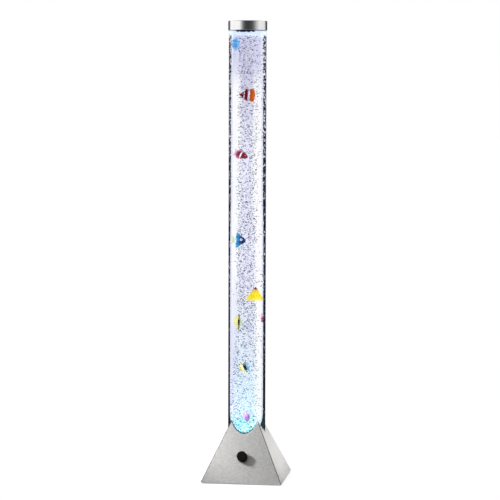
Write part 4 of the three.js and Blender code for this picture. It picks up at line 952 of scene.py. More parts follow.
class LAMP_OT_shell(LampOperator, bpy.types.Operator):
    """Brushed steel pyramid with folded corners, an eased hole for the tube and welded lugs"""

    bl_idname = "lamp.shell"
    bl_label = "Base shell"

    # Columns of one side, closer near its folds, and the angles across a fold
    across = np.concatenate([[-1, -0.985], np.linspace(-0.95, 0.95, 25), [0.985, 1]])
    around = np.linspace(0, np.pi / 2, 8)[1:-1]

    def execute(self, context):
        steel = brushed("brushed_shell", self.colours.shell_steel, 0.42)
        skin = Skin().add(self.walls(), loop=True)
        for x in (-1, 1):
            for y in (-1, 1):
                skin.add(self.lug() * (x, y, 1), loop=True)
        fitted(skin.piece("shell_body", [steel], 30), "lamp", "brushed_shell", "base_shell")
        return {"FINISHED"}

    def quarter(self, half, fold):
        """One side and its fold at half width h: (h, (h-r) k) for k from -1 to 1, then
        (h-r+r cos b, h-r+r sin b) for b from 0 to 90 degrees. half has a column axis last."""
        k, b = self.across, self.around
        side, bend = half[..., : len(k)], half[..., len(k) :] - fold
        face = np.stack([side, (side - fold) * k], -1)
        corner = np.stack([bend + fold * np.cos(b), bend + fold * np.sin(b)], -1)
        return np.concatenate([face, corner], -2)

    def hole_half(self, fold, radius):
        """The half width at which each column of a quarter lies the hole's radius from the
        axis: the root of h^2 (1+k^2) - 2 r k^2 h + r^2 k^2 = R^2 on a side, and of
        2 g^2 + 2 g r (cos b + sin b) + r^2 = R^2 with g = h - r on a fold."""
        k, b = self.across, self.around
        a0, a1, a2 = 1 + k**2, -2 * fold * k**2, fold**2 * k**2 - radius**2
        side = (-a1 + np.sqrt(a1**2 - 4 * a0 * a2)) / (2 * a0)
        m = fold * (np.cos(b) + np.sin(b))
        bend = (-m + np.sqrt(m**2 - 2 * (fold**2 - radius**2))) / 2 + fold
        return np.concatenate([side, bend])

    def wall_rows(self, shares, fold, start, radius, inset, drop=0.0):
        """Rows of one wall surface from its bottom half width to the hole. A row's height is
        where the outer face would have the half width h + inset."""
        top = self.hole_half(fold, radius)
        half = start + (top - start) * np.asarray(shares, float)[:, None]
        z = SHELL_LOW[2] + (SHELL_HIGH[0] - (half + inset)) / FACE_LEAN - drop
        flat = self.quarter(half, fold)
        turns = []
        for c, s in ((1, 0), (0, 1), (-1, 0), (0, -1)):
            turns.append(np.concatenate([flat @ [[c, s], [-s, c]], z[..., None]], -1))
        return np.concatenate(turns, 1)

    def walls(self):
        """Outer face up to the hole, over its eased edge, down the inner face and round the
        eased bottom edge: a closed loop of rows."""
        s = self.sizes
        wall, fold = s.steel_thickness / MM, s.fold_radius / MM
        run = wall / math.sin(FACE_TILT)
        inner = max(fold - wall, 0.25)
        radius = (s.tube_radius + s.hole_gap) / MM
        ease = 0.3
        rise = np.concatenate([[0, 0.01], np.linspace(0.04, 0.96, 20), [0.99, 1]])
        base, slack = SHELL_HIGH[0], ease * FACE_LEAN
        rows = (
            (rise, fold, base - slack, radius + ease, 0.0),
            ([1.0], fold, base, radius, 0.0, ease),
            ([1.0], inner, base - run, radius, run, -ease),
            (rise[::-1], inner, base - run - slack, radius + ease, run),
            ([0.0], inner, base - run + ease, radius, run - ease),
            ([0.0], fold, base - ease, radius, ease),
        )
        return np.concatenate([self.wall_rows(*row) for row in rows])

    def lug(self):
        """A corner lug: from the screw hole out to the nearest of the two walls and the
        slanted edge x + y = c, at the distance
        min((w-p)/cos q, (w-p)/sin q, (2p-c)/-(cos q + sin q))."""
        p, wall, edge, low, hole = 88.989, 104.25, 153.98, 7.7, 1.7
        side, far_side = wall - p, edge - wall - p
        exact = np.arctan2([side, far_side, side], [side, side, far_side])
        q = np.sort(np.concatenate([angles(40) - np.pi + 0.01, exact]))
        c, s = np.cos(q), np.sin(q)
        far = np.full(len(q), 1e9)
        for reach, lean in ((side, c), (side, s), (2 * p - edge, -(c + s))):
            far = np.minimum(far, np.where(lean > 1e-6, reach / np.maximum(lean, 1e-6), 1e9))
        rows = [
            (hole, 0.2), (hole + 0.2, 0), (far - 0.3, 0), (far, 0.3),
            (far, 1.2), (far - 0.3, 1.5), (hole + 0.2, 1.5), (hole, 1.3),
        ]
        return np.stack([np.stack([p + r * c, p + r * s, low + z + 0 * q], -1) for r, z in rows])


def one_piece(name, grid, material, sharp, loop=True):
    """One surface as a piece of one material."""
    return Skin().add(grid, loop).piece(name, [material], sharp)


class LAMP_OT_cap(LampOperator, bpy.types.Operator):
    """Drawn steel cap with a crowned edge, satin polished round its side"""

    bl_idname = "lamp.cap"
    bl_label = "Cap"

    def execute(self, context):
        outer, low, high = CAP_HIGH[0], CAP_LOW[2], CAP_HIGH[2]
        wall, vent = 1.2, 2.5
        corners = [
            [outer - wall, low], [outer, low], [outer, high], [vent, high],
            [vent, high - wall], [outer - wall, high - wall],
        ]
        section = eased(corners, [0.35, 0.35, 2.4, 0.3, 0.3, 0.8], 6)
        piece = one_piece("cap_body", turned(section, 160), self.satin(), 40)
        fitted(piece, "cap", "cap_metal", "cap_shell")
        return {"FINISHED"}

    def satin(self):
        """Satin steel: hair lines round the side, and rings on the lid."""
        f = Finish("cap_metal")
        x, y, z = f.xyz()
        out = (x * x + y * y).maths("SQRT")
        lines = f.noise(1.0, 3.0, 0.6, f.joined(out * 900.0, 0.0, z * 1400.0))
        tone = self.colours.cap_steel
        base = f.mixed(lines, shaded(tone, 0.93), shaded(tone, 1.03))
        shine = f.noise(25.0, 2.0).ranged(0.3, 0.7, 0.15, 0.2)
        return f.surface(base, shine, lines, 0.000004, 0.25, metallic=1.0)


class LAMP_OT_knob(LampOperator, bpy.types.Operator):
    """Round black control with an eased edge, a hollow back and a fine pointer groove"""

    bl_idname = "lamp.knob"
    bl_label = "Control knob"

    def execute(self, context):
        radius, long, lift = 13.5, 16.0, 1.0  # lift: clear of the shell's face
        corners = [[share * radius, long] for share in (0.0, 0.25, 0.5, 0.7, 1.0)]
        corners += [[radius, 0], [9.0, 0], [9.0, 4.0], [3.25, 4.0], [3.25, 13.0], [0.0, 13.0]]
        ease = [0, 0, 0, 0, 1.6, 0.4, 0.3, 0.2, 0.2, 0.2, 0]
        grid = turned(eased(corners, ease, 5, closed=False), 120)
        x, y, z = np.moveaxis(grid, -1, 0)
        ahead = np.clip((0.8 - np.abs(x)) / 0.35, 0, 1) * np.clip(y / 0.6, 0, 1)
        z -= 0.5 * ahead * np.clip((z - long + 0.8) / 0.6, 0, 1)
        c, s = math.cos(FACE_TILT), math.sin(FACE_TILT)
        grid = placed(grid + (0, 0, lift), (0, -77.7163, 67.0), (1, 0, 0), (0, c, s), (0, -s, c))
        plastic = moulded("knob_black", self.colours.knob, 0.55, 1400.0, 0.00003, 0.2, gloss=0.05)
        piece = one_piece("knob_body", grid, plastic, 40, loop=False)
        fitted(piece, "control", "knob_black", "knob")
        return {"FINISHED"}


class LAMP_OT_tube(LampOperator, bpy.types.Operator):
    """Clear acrylic tube with polished, eased ends"""

    bl_idname = "lamp.tube"
    bl_label = "Clear tube"

    def execute(self, context):
        s = self.sizes
        outer, inner = s.tube_radius / MM, (s.tube_radius - s.tube_wall) / MM
        low, high = TUBE_LOW[2], TUBE_HIGH[2]
        section = eased([[inner, low], [outer, low], [outer, high], [inner, high]], 0.5, 3)
        clear = acrylic("clear_acrylic", self.colours, s.tube_radius)
        piece = one_piece("tube_body", turned(section, 192), clear, 40)
        fitted(piece, "lamp", "clear_acrylic", "water_tube")
        return {"FINISHED"}


class LAMP_OT_water(LampOperator, bpy.types.Operator):
    """The water, from the plug to the foam"""

    bl_idname = "lamp.water"
    bl_label = "Water"

    def execute(self, context):
        s = self.sizes
        radius = (s.tube_radius - s.tube_wall) / MM + 0.04
        low, high = STONE_LOW[2] - 3.3, s.water_height / MM
        grid = turned([[0, low], [radius, low], [radius, high], [0, high]], 192)
        piece = one_piece("water_body", grid, lit_water("lit_water"), 40, loop=False)
        fitted(piece, "lamp", "clear_acrylic")
        return {"FINISHED"}


def small_ball():
    """A ball of 32 faces: an octahedron whose edges' middles move out to the ball."""
    tips = np.array([[1, 0, 0], [-1, 0, 0], [0, 1, 0], [0, -1, 0], [0, 0, 1], [0, 0, -1]], float)
    corners = np.array(
        [[0, 2, 4], [2, 1, 4], [1, 3, 4], [3, 0, 4], [2, 0, 5], [1, 2, 5], [3, 1, 5], [0, 3, 5]]
    )
    pairs = np.concatenate([corners[:, [i, (i + 1) % 3]] for i in range(3)])
    edges, which = np.unique(np.sort(pairs, 1), axis=0, return_inverse=True)
    ab, bc, ca = which.reshape(3, -1) + len(tips)
    a, b, c = corners.T
    triangles = ((a, ab, ca), (b, bc, ab), (c, ca, bc), (ab, bc, ca))
    faces = np.concatenate([np.stack(triangle, 1) for triangle in triangles])
    return np.concatenate([tips, unit(tips[edges].sum(1))]), faces


def bubble_cloud(name, centres, radii, tones, material, flat=0.82):
    """Many small balls as one mesh: ball i's points are C_i + R_i (x, y, flat z)."""
    ball, faces = small_ball()
    points = centres[:, None] + radii[:, None, None] * ball[None] * (1, 1, flat)
    number = (np.arange(len(centres)) * len(ball))[:, None, None]
    corners = (faces[None] + number).reshape(-1, 3)
    mesh = bpy.data.meshes.new(name)
    mesh.vertices.add(points.size // 3)
    mesh.vertices.foreach_set("co", (points * MM).astype(np.float32).ravel())
    mesh.loops.add(corners.size)
    mesh.loops.foreach_set("vertex_index", corners.astype(np.int32).ravel())
    mesh.polygons.add(len(corners))
    mesh.polygons.foreach_set("loop_start", np.arange(len(corners), dtype=np.int32) * 3)
    mesh.polygons.foreach_set("use_smooth", np.ones(len(corners), bool))
    mesh.update(calc_edges=True)
    kept = mesh.attributes.new("tone", "FLOAT", "POINT")
    kept.data.foreach_set("value", np.repeat(tones, len(ball)).astype(np.float32))
    mesh.materials.append(material)
    fitted(linked(name, mesh), "lamp", "clear_acrylic")


def clear_of_fish(centres, radii):
    """True where a ball stays clear of the room that each fish sweeps as it rises and sinks,
    and doesn't hide a fish at rest from the front."""
    gap = 0.8
    slant = 0.14  # how far the view from the front runs to the right for each unit of depth
    moves = {j["child"]: j["range_m"] for j in frame["joints"] if j["type"] == "slide"}
    clear = np.ones(len(centres), bool)
    for name in (row[0] for row in FISH):
        low, high = box(name)
        down, up = ((0, 0, travel / MM) for travel in moves[name])
        room = radii[:, None] + gap
        clear &= ~((centres > low + down - room) & (centres < high + up + room)).all(1)
        middle, half = (low + high) / 2, (high - low) / 2
        ahead = (low[1] - centres[:, 1]).clip(0)
        side = np.abs(centres[:, 0] - slant * ahead - middle[0])
        level = np.abs(centres[:, 2] - middle[2])
        clear &= ~((side < half[0] + 1) & (level < half[2]) & (ahead > 0))
    return clear


def around(q, far, z):
    """Points at angle q and distance far from the axis: (far cos q, far sin q, z)."""
    return np.stack([far * np.cos(q), far * np.sin(q), z], -1)


class LAMP_OT_bubbles(LampOperator, bpy.types.Operator):
    """Rising bubbles in a wandering plume, and small ones held on the tube's wall. On the
    plume's disc of radius R they lie at R sqrt(1 - u^2) for u from 0 to 1, as a ball's skin
    seen from above, so that the plume is an even band from every side"""

    bl_idname = "lamp.bubbles"
    bl_label = "Bubbles"

    def execute(self, context):
        s = self.sizes
        skin = bubble_skin("bubble_skin", self.colours)
        draw = np.random.default_rng(s.seed)
        low, high = STONE_HIGH[2] + 2.5, s.water_height / MM - 4
        self.rising(draw, low, high, skin)
        self.over_stone(draw, low, skin)
        self.on_wall(draw, low, high, skin)
        return {"FINISHED"}

    def rising(self, draw, low, high, skin):
        """The plume, wider and further left low down and sparser at its right, and strays
        that rise in front and at the right. Every second one or so is dark."""
        s, many = self.sizes, self.sizes.bubble_count
        jitter, wander, shift = 1.4, 1.2, 7
        z = low + (high - low) * draw.uniform(size=many) ** 1.2
        lower = np.clip((430 - z) / 170, 0, 1)
        wide = s.plume_radius / MM * (1 + 0.3 * lower)
        q, far = draw.uniform(0, 2 * np.pi, many), np.sqrt(1 - draw.uniform(size=many) ** 2)
        x = wide * far * np.cos(q) + draw.normal(0, jitter, many)
        x = x + wander * np.sin(z / 130) - shift * lower
        y = wide * far * np.sin(q) + draw.normal(0, jitter, many)
        stray = draw.uniform(size=many) < 0.12
        strays = around(draw.uniform(-1.2, 1.2, many), 43 * np.sqrt(draw.uniform(size=many)), z)
        centres = np.where(stray[:, None], strays, np.stack([x, y, z], -1))
        radii = s.bubble_radius / MM * draw.lognormal(0, 0.22, many)
        inside = np.hypot(centres[:, 0], centres[:, 1]) + radii < 45.5
        right = np.clip(centres[:, 0] / wide + shift * lower / wide, 0, 1)
        dense = draw.uniform(size=many) > 0.55 * right
        kept = inside & (dense | stray) & clear_of_fish(centres, radii)
        darker = draw.uniform(size=many) < 0.42 + 0.18 * np.clip((z - 260) / 200, 0, 1)
        tones = np.where(darker, draw.uniform(0, 0.24, many), 0.9)
        middle = np.median(z[kept])
        for name, part in (("lower_bubbles", z <= middle), ("upper_bubbles", z > middle)):
            some = kept & part
            bubble_cloud(name, centres[some], radii[some], tones[some], skin)

    def over_stone(self, draw, low, skin):
        """Lit bubbles across the whole tube, thinning out upwards."""
        many = self.sizes.base_bubble_count
        z = low - 2 + 17 * draw.exponential(size=many).clip(0, 4.5)
        q, far = draw.uniform(0, 2 * np.pi, many), 45 * np.sqrt(draw.uniform(size=many))
        radii = 1.3 * draw.lognormal(0, 0.25, many)
        centres = around(q, far, z)
        kinds = draw.integers(0, 7, many)
        tones = [draw.uniform(0, 0.4, many)] + [v + 0 * z for v in (0.45, 0.7, 0.8, 0.9, 1, 1)]
        kept, tones = clear_of_fish(centres, radii), np.choose(kinds, tones)
        bubble_cloud("base_bubbles", centres[kept], radii[kept], tones[kept], skin)

    def on_wall(self, draw, low, high, skin):
        """Small bubbles that touch the tube's inner wall."""
        many = self.sizes.wall_bubble_count
        q = draw.uniform(0, 2 * np.pi, many)
        radii = 0.55 * draw.lognormal(0, 0.3, many)
        centres = around(q, 46.7 - radii, draw.uniform(low, high, many))
        tones = np.where(draw.uniform(size=many) < 0.7, 0.97, 0.3)
        kept = clear_of_fish(centres, radii)
        bubble_cloud("wall_bubbles", centres[kept], radii[kept], tones[kept], skin, 1.0)


class LAMP_OT_foam(LampOperator, bpy.types.Operator):
    """Foam on the water: a bumpy layer with a ragged lower edge and a crust of bubbles"""

    bl_idname = "lamp.foam"
    bl_label = "Foam"

    def execute(self, context):
        s = self.sizes
        high, depth = s.water_height / MM - 0.6, s.foam_depth / MM
        wide = (s.tube_radius - s.tube_wall) / MM - 0.25
        grid = turned(self.section(high, depth, wide), 128)
        ring = np.hypot(grid[..., 0], grid[..., 1]) / wide
        below = np.clip((high - grid[..., 2]) / depth, 0, 1)
        side = grid * (1, 1, 0)
        ragged = ripple(side, 9.0, 7, 3) + 0.6 * ripple(side, 3.4, 7, 5)
        curl = 25.0 * np.clip(grid[..., 0] / wide - 0.55, 0, 1) ** 2  # down at the right
        grid[..., 2] -= below * np.clip(ring, 0, 1) * (2.6 * ragged + curl)
        grid[..., 2] -= (1 - below) * 0.5 * (1 + ripple(grid, 4.0, 6, 9))
        foam = self.froth(high)
        piece = one_piece("foam_layer", grid, foam, 180, loop=False)
        fitted(piece, "lamp", "clear_acrylic")

        draw, many = np.random.default_rng(s.seed + 1), s.foam_bubble_count
        q, far = draw.uniform(0, 2 * np.pi, many), wide * draw.uniform(0.8, 0.97, many)
        drop = depth * (0.75 + 0.5 * draw.exponential(0.5, many).clip(0, 2))
        drop = drop + 9 * np.clip(np.cos(q) - 0.6, 0, 1)
        centres, radii = around(q, far, high - drop), draw.lognormal(0, 0.3, many)
        kept = clear_of_fish(centres, radii)
        bubble_cloud("foam_bubbles", centres[kept], radii[kept], np.ones(kept.sum()), foam)
        return {"FINISHED"}

    def froth(self, high):
        """White foam of small cells that glows as painted light, with a painted dark band of shade under the cap's
        middle.
        """
        f = Finish("foam_skin")
        x, _, z = f.xyz()
        cell = f.cells(260.0)
        wave = f.noise(120.0, 2.0) * 0.012 - 0.006
        # painted shade: a dark wavy band at the top of the foam, under the cap's middle
        cap_shade = (z + wave).ranged((high - 4.6) * MM, (high - 3.9) * MM)
        cap_shade = cap_shade * abs(x).ranged(0.027, 0.021)
        pale = f.mixed(cell.ranged(0.1, 0.6), self.colours.foam, (0.8, 0.91, 0.96))
        base = f.mixed(cap_shade, pale, (0.02, 0.03, 0.09))
        # painted light: the foam glows, all but in the band of painted shade
        glow = (1.0 - cap_shade * 0.95) * 0.5
        more = {"emission_color": base, "emission_strength": glow}
        return f.surface(base, 0.5, cell, 0.0008, 0.6, **more)

    def section(self, high, depth, wide):
        """Half a slab: down the axis's top, out along the top, down the side and back."""
        out = np.linspace(0, wide, 26)
        down = np.linspace(high, high - depth, 9)
        r = np.concatenate([out, np.full(7, wide), out[::-1]])
        h = np.concatenate([np.full(26, high), down[1:-1], np.full(26, high - depth)])
        return np.stack([r, h], -1)


class LAMP_OT_fish(LampOperator, bpy.types.Operator):
    """Nine painted toy fish with ribbed fins"""

    bl_idname = "lamp.fish"
    bl_label = "Fish"

    def execute(self, context):
        thickness = self.sizes.fin_thickness / MM
        for name, kind, place, size, heading, pitch, *paint in FISH:
            body, tail, above = FISH_KINDS[kind]
            tail = tail + [(x, -z) for x, z in tail[-2::-1]]
            below = [(x, -z) for x, z in above]
            (ch, sh), (cp, sp) = (
                (math.cos(a), math.sin(a)) for a in (math.radians(heading), math.radians(pitch))
            )
            axes = (ch * cp, sh * cp, sp), (-sh, ch, 0.0), (-ch * sp, -sh * sp, cp)
            grids = [(fish_body(body, size), 0.0)]
            for outline, ridges, part in ((tail, 14, 0.5), (above, 11, 1.0), (below, 11, 1.0)):
                grids.append((fin_blade(outline, size, thickness, ridges), part))
            skin = Skin()
            for grid, part in grids:
                skin.add(placed(grid, place, *axes), field=fish_field(grid, size, part))
            piece = skin.piece(name + "_toy", [fish_paint(name, size, paint)], 50, "place")
            fitted(piece, name, name, name)
        return {"FINISHED"}


class LAMP_OT_rubber(LampOperator, bpy.types.Operator):
    """Rubber pieces: feet, pump pad, plug seal, nozzle washer and pump diaphragm"""

    bl_idname = "lamp.rubber"
    bl_label = "Rubber pieces"

    def execute(self, context):
        rubber = moulded("black_rubber", (0.035, 0.035, 0.036), 0.78, 1100.0, 0.00009, 0.25)
        grids = []
        for number in range(1, 5):
            low, high = box(f"rubber_foot_{number}")
            x, y, tall = *(low + high)[:2] / 2, high[2] - low[2]
            section = eased(
                [[0, 0], [4.4, 0], [4.8, 0.5], [7, 0.5], [8, 1.6], [8, tall], [0, tall]],
                [0, 0.2, 0.2, 0.6, 0.6, 0.3, 0], 4, closed=False,
            )
            foot = turned(section, 48, (x, y, 0))
            grids.append((f"foot_{number}", foot, f"rubber_foot_{number}", False))
        low, high = box("pump_pad")
        pad = rounded_block(high - low, (low + high) / 2, 0.9)
        q = angles(16)
        seal = turned(np.stack([45.45 + 1.4 * np.cos(q), 92.7 + 1.4 * np.sin(q)], -1), 128)
        low, high = box("nozzle_washer")[0][2], box("nozzle_washer")[1][2]
        flat = eased([[4.2, low], [8, low], [8, high], [4.2, high]], 0.25, 3)
        grids += [
            ("pad_body", pad, "pump_pad", False),
            ("seal_ring", seal, "plug_seal", True),
            ("washer_ring", turned(flat, 48), "nozzle_washer", True),
        ]
        for name, grid, node, loop in grids:
            fitted(one_piece(name, grid, rubber, 45, loop), "lamp", "black_rubber", node)
        self.diaphragm(rubber)
        return {"FINISHED"}

    def diaphragm(self, rubber):
        """A cup whose slanted wall carries one rolled wave, with a solid button on top."""
        low, high = box("pump_diaphragm")
        section = eased(
            [
                [0, 4.5], [2.8, 4.5], [6.0, 3.4], [8.6, 0], [12, 0], [12, 1.2], [9.9, 1.7],
                [8.9, 3.6], [6.9, 4.2], [5.6, 5.6], [4.0, 5.9], [4.0, 9.0], [0, 9.0],
            ],
            [0, 0.5, 0.9, 0.4, 0.3, 0.4, 0.8, 0.8, 0.8, 0.8, 0.3, 0.5, 0], 4, closed=False,
        )
        centre = (low + high) / 2
        grid = turned(section, 64, (centre[0], centre[1], low[2]))
        piece = one_piece("diaphragm_cup", grid, rubber, 45, loop=False)
        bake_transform(piece)
        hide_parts("pump_diaphragm")


class LAMP_OT_lines(LampOperator, bpy.types.Operator):
    """Silicone air hoses and the wiring looms inside the base"""

    bl_idname = "lamp.lines"
    bl_label = "Hoses and looms"

    # Each loom's plug across the lamp (y), then its two leads' points and bending sides
    routes = {
        "front_loom": (-27.25, (
            ([(0, -63.3, 60.29), (0, -52.42, 55.23), (34.99, -36.0, 48.8),
              (68.23, -27.25, 37.3), (68.23, -27.25, 21.3)], (1, 0.4, 0)),
            ([(34.4, -4, 34.9), (46.4, -4, 34.9), (64.19, -13.63, 40.9),
              (71.73, -27.25, 37.3), (71.73, -27.25, 21.3)], (1, 1.2, 0.2)),
        )),
        "rear_loom": (19.25, (
            ([(45, 83.77, 17.5), (45, 78.33, 14.97), (57.5, 51.51, 29.3),
              (68.23, 19.25, 37.3), (68.23, 19.25, 21.3)], (1, 0, 0)),
            ([(44.8, 0, 77.6), (44.8, 0, 69.6), (65.39, 9.63, 49.45),
              (71.73, 19.25, 37.3), (71.73, 19.25, 21.3)], (-0.4, 1, 0)),
        )),
    }

    def execute(self, context):
        silicone = self.silicone()
        self.hose("lower_hose", (21.6, 19.9), (38.0, 31.9), -90, (50.0, 36.4), silicone)
        self.hose("upper_hose", (5.6, 70.2), (38.0, 58.2), 90, (50.0, 54.8), silicone)
        self.looms()
        return {"FINISHED"}

    def silicone(self):
        """Milky silicone rubber with a soft gloss."""
        f = Finish("silicone")
        cloud = f.noise(90.0)
        base = f.mixed(cloud, (0.66, 0.71, 0.73), (0.8, 0.85, 0.87))
        more = {"subsurface_weight": 0.3, "subsurface_scale": 0.002}
        shine = cloud.ranged(0.3, 0.7, 0.28, 0.4)
        return f.surface(base, shine, f.noise(500.0), 0.00004, 0.3, **more)

    def hose(self, node, start, centre, turn, end, material):
        """Straight, a quarter circle in the y-z plane, then straight. The outer and inner
        skins are one closed loop of rows, so that the ends are square and open."""
        bend = 12.0
        q = np.radians(np.linspace(turn, 0, 15))
        arc = np.stack([centre[0] + bend * np.cos(q), centre[1] + bend * np.sin(q)], -1)
        lead_in = np.linspace(start, arc[0], 8)[:-1]
        lead_out = np.linspace(arc[-1], end, 5)[1:]
        path = np.pad(np.concatenate([lead_in, arc, lead_out]), ((0, 0), (1, 0)))
        outer, inner = (
            swept(path, radius / MM, 24, (1, 0, 0))
            for radius in (self.sizes.hose_radius, self.sizes.hose_bore)
        )
        grid = np.concatenate([outer, inner[::-1]])
        fitted(one_piece(node + "_line", grid, material, 45), "lamp", "silicone", node)

    def looms(self):
        """Two leads with closed ends that run into one plug with a latch."""
        sheath = moulded("black_sheath", (0.03, 0.03, 0.032), 0.5, 700.0, 0.00008, 0.2)
        plug = moulded("plug_shell", (0.8, 0.79, 0.74), 0.42, 900.0, 0.00004, 0.05)
        radius = self.sizes.lead_radius / MM
        for node, (y, leads) in self.routes.items():
            skin = Skin()
            for points, side in leads:
                path = smooth_path(points, 9)
                near_end = path[:1] + 0.02 * (path[1:2] - path[:1])
                path = np.concatenate([path[:1], near_end, path[1:]])
                thick = np.full(len(path), radius)
                thick[[0, -1]] = 0.0
                skin.add(swept(path, thick, 16, side))
            skin.add(rounded_block((7, 7, 6), (69.98, y, 21.3), 0.6), slot=1)
            skin.add(rounded_block((7.6, 1.2, 4.4), (69.98, y - 3.2, 21.5), 0.4), slot=1)
            piece = skin.piece(node + "_leads", [sheath, plug], 45)
            fitted(piece, "lamp", "black_rubber", node)


class LAMP_OT_air_stone(LampOperator, bpy.types.Operator):
    """Porous air stone"""

    bl_idname = "lamp.air_stone"
    bl_label = "Air stone"

    def execute(self, context):
        low, high = STONE_LOW[2], STONE_HIGH[2]
        floor = low + 8
        corners = [
            [0, high], [6, high], [12.6, high], [12.6, low], [2.3, low], [2.3, floor], [0, floor],
        ]
        section = eased(corners, [0, 0, 1.8, 1.6, 0.3, 0.2, 0], 6, closed=False)
        even = np.linspace(0, len(section) - 1, 4 * len(section))
        near = np.clip(np.floor(even).astype(int), 0, len(section) - 2)
        section = section[near] + (even - near)[:, None] * (section[near + 1] - section[near])
        grid = turned(section, 120)
        outside = np.clip((np.hypot(grid[..., 0], grid[..., 1]) - 4) / 2, 0, 1)
        way = unit(grid - (0, 0, (low + high) / 2))
        grid = grid + 0.3 * (outside * ripple(grid, 1.1, 9, 2))[..., None] * way
        f = Finish("air_stone_grey")
        cloud = f.noise(200.0, 4.0)
        base = f.mixed(cloud, (0.34, 0.38, 0.42), (0.55, 0.6, 0.65))
        stone = f.surface(base, cloud.ranged(0.2, 0.8, 0.85, 1.0), f.cells(900.0), 0.0006, 0.8)
        piece = one_piece("stone_body", grid, stone, 60, loop=False)
        fitted(piece, "lamp", "air_stone_grey", "air_stone")
        return {"FINISHED"}


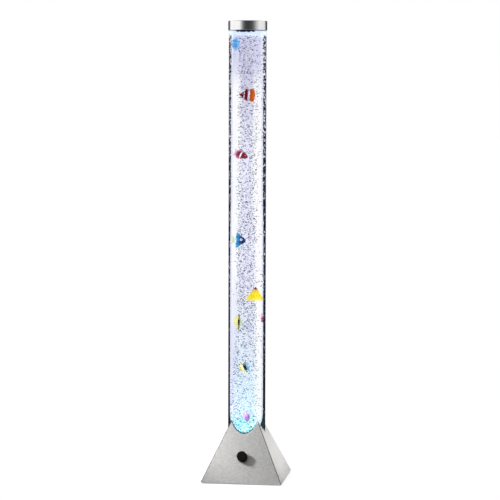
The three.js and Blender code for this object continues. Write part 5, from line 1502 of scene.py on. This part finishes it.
class LAMP_OT_inner_parts(LampOperator, bpy.types.Operator):
    """Finishes for the CAD pieces that keep their own shape"""

    bl_idname = "lamp.inner_parts"
    bl_label = "Inner parts"

    def execute(self, context):
        dark, white = (0.028, 0.028, 0.03), (0.78, 0.78, 0.75)
        rubber = (0.035, 0.035, 0.036)
        finishes = {
            "black_plastic": moulded("black_plastic", dark, 0.42, 800.0, 0.00008, 0.2),
            "grey_plastic": moulded("grey_plastic", (0.28, 0.3, 0.32), 0.48, 900.0, 0.00005, 0.08),
            "white_plastic": moulded("white_plastic", white, 0.36, 900.0, 0.00003, 0.05, 0.2),
            "zinc_steel": plated("zinc_steel", (0.62, 0.63, 0.65)),
            "copper_wire": self.winding(),
            "clear_acrylic": self.plug_acrylic(),
            "black_rubber": moulded("rubber_plain", rubber, 0.8, 1100.0, 0.00009, 0.25),
        }
        own = {"control_board": self.board("control_board"), "led_board": self.lamp_board()}
        slots = {row["node"]: row["material_slot"] for row in frame["record"]["subparts"]}
        for name, node in frame["nodes"].items():
            if node.hide_render:
                continue
            node.data.materials.clear()
            node.data.materials.append(own.get(name) or finishes[slots[name]])
        return {"FINISHED"}

    def winding(self):
        """Enamelled copper wire: close turns round the bobbin, as fine bands along its height."""
        f = Finish("copper_wire")
        turns = f.waves(420.0, 0.6, 1.0)
        base = f.mixed(turns, (0.26, 0.08, 0.03), (0.66, 0.27, 0.1))
        shine = turns.ranged(0.0, 1.0, 0.45, 0.28, "LINEAR")
        return f.surface(base, shine, turns, 0.0003, 0.7, metallic=0.85)

    def plug_acrylic(self):
        """The plug's clear acrylic: frosted by machining; its pale cyan is painted light from the lamps below."""
        f = Finish("plug_acrylic")
        rings = f.noise(240.0)
        # painted light: pale cyan from the lamps below
        base = f.mixed(rings, (0.62, 0.86, 0.92), (0.82, 0.95, 0.98))
        shine = rings.ranged(0.3, 0.7, 0.25, 0.4)
        return f.surface(base, shine, rings, 0.00005, 0.3, transmission_weight=0.35)

    def board(self, node):
        """Green solder mask with copper runs under it, and dark parts that stand on it: above
        the board's face the colour turns to that of the part at that place along y."""
        low, high = (float(corner[1]) * MM for corner in box(node))
        header, driver, capacitor = (0.75, 0.74, 0.68), (0.02, 0.02, 0.022), (0.03, 0.05, 0.12)
        f = Finish("board_" + node)
        _, y, z = f.xyz()
        brick = {"Scale": 260.0, "Mortar Size": 0.09, "Mortar Smooth": 0.2, "Brick Width": 1.6}
        runs = f.wire("TexBrick", {"Vector": f.here, **brick}, "Fac")
        mask = f.mixed(runs, (0.012, 0.12, 0.045), (0.03, 0.22, 0.09))
        stops = [
            (0.0, header), (0.24, header), (0.26, driver), (0.49, driver),
            (0.51, capacitor), (0.74, capacitor), (0.76, header),
        ]
        parts = f.ramp((y - low) / (high - low), stops)
        base = f.mixed(z.ranged(0.01405, 0.01415, kind="LINEAR"), mask, parts)
        return f.surface(base, f.noise(300.0).ranged(0.3, 0.7, 0.3, 0.45), runs, 0.00004, 0.4)

    def lamp_board(self):
        """White solder mask below, and lamps whose pale yellow lenses stand above it."""
        face = float(box("led_board")[0][2]) * MM + 0.0016
        f = Finish("board_lamps")
        z = f.xyz()[2]
        speck = f.noise(500.0, 2.0)
        mask = f.mixed(speck, (0.7, 0.71, 0.7), (0.8, 0.81, 0.8))
        lens = f.mixed(f.cells(420.0).ranged(0.1, 0.5), (0.9, 0.8, 0.28), (0.75, 0.6, 0.16))
        base = f.mixed(z.ranged(face + 0.00002, face + 0.0001, kind="LINEAR"), mask, lens)
        return f.surface(base, speck.ranged(0.3, 0.7, 0.3, 0.42), speck, 0.00003, 0.3)


class LAMP_PT_parts(bpy.types.Panel):
    """Lists the lamp's builders, sizes and colours"""

    bl_label = "Water column lamp"
    bl_idname = "LAMP_PT_parts"
    bl_space_type = "VIEW_3D"
    bl_region_type = "UI"
    bl_category = "Lamp"

    def draw(self, context):
        for builder in BUILDERS:
            self.layout.operator(builder.bl_idname)
        for group in (context.scene.lamp_sizes, context.scene.lamp_colours):
            panel = self.layout.box()
            for name in group.__annotations__:
                panel.prop(group, name)


BUILDERS = (
    LAMP_OT_stage,
    LAMP_OT_shell,
    LAMP_OT_cap,
    LAMP_OT_knob,
    LAMP_OT_tube,
    LAMP_OT_water,
    LAMP_OT_bubbles,
    LAMP_OT_foam,
    LAMP_OT_fish,
    LAMP_OT_rubber,
    LAMP_OT_lines,
    LAMP_OT_air_stone,
    LAMP_OT_inner_parts,
)
CLASSES = (LampSizes, LampColours, *BUILDERS, LAMP_PT_parts)


def register():
    for each in CLASSES:
        bpy.utils.register_class(each)
    bpy.types.Scene.lamp_sizes = bpy.props.PointerProperty(type=LampSizes)
    bpy.types.Scene.lamp_colours = bpy.props.PointerProperty(type=LampColours)


def unregister():
    del bpy.types.Scene.lamp_sizes
    del bpy.types.Scene.lamp_colours
    for each in reversed(CLASSES):
        bpy.utils.unregister_class(each)


def main():
    """Registers the add-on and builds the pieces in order."""
    register()
    bpy.context.scene.view_settings.view_transform = "Standard"
    lamp = bpy.ops.lamp
    lamp.stage()
    lamp.shell()
    lamp.cap()
    lamp.knob()
    lamp.tube()
    lamp.water()
    lamp.bubbles()
    lamp.foam()
    lamp.fish()
    lamp.rubber()
    lamp.lines()
    lamp.air_stone()
    lamp.inner_parts()


if __name__ == "__main__":
    main()
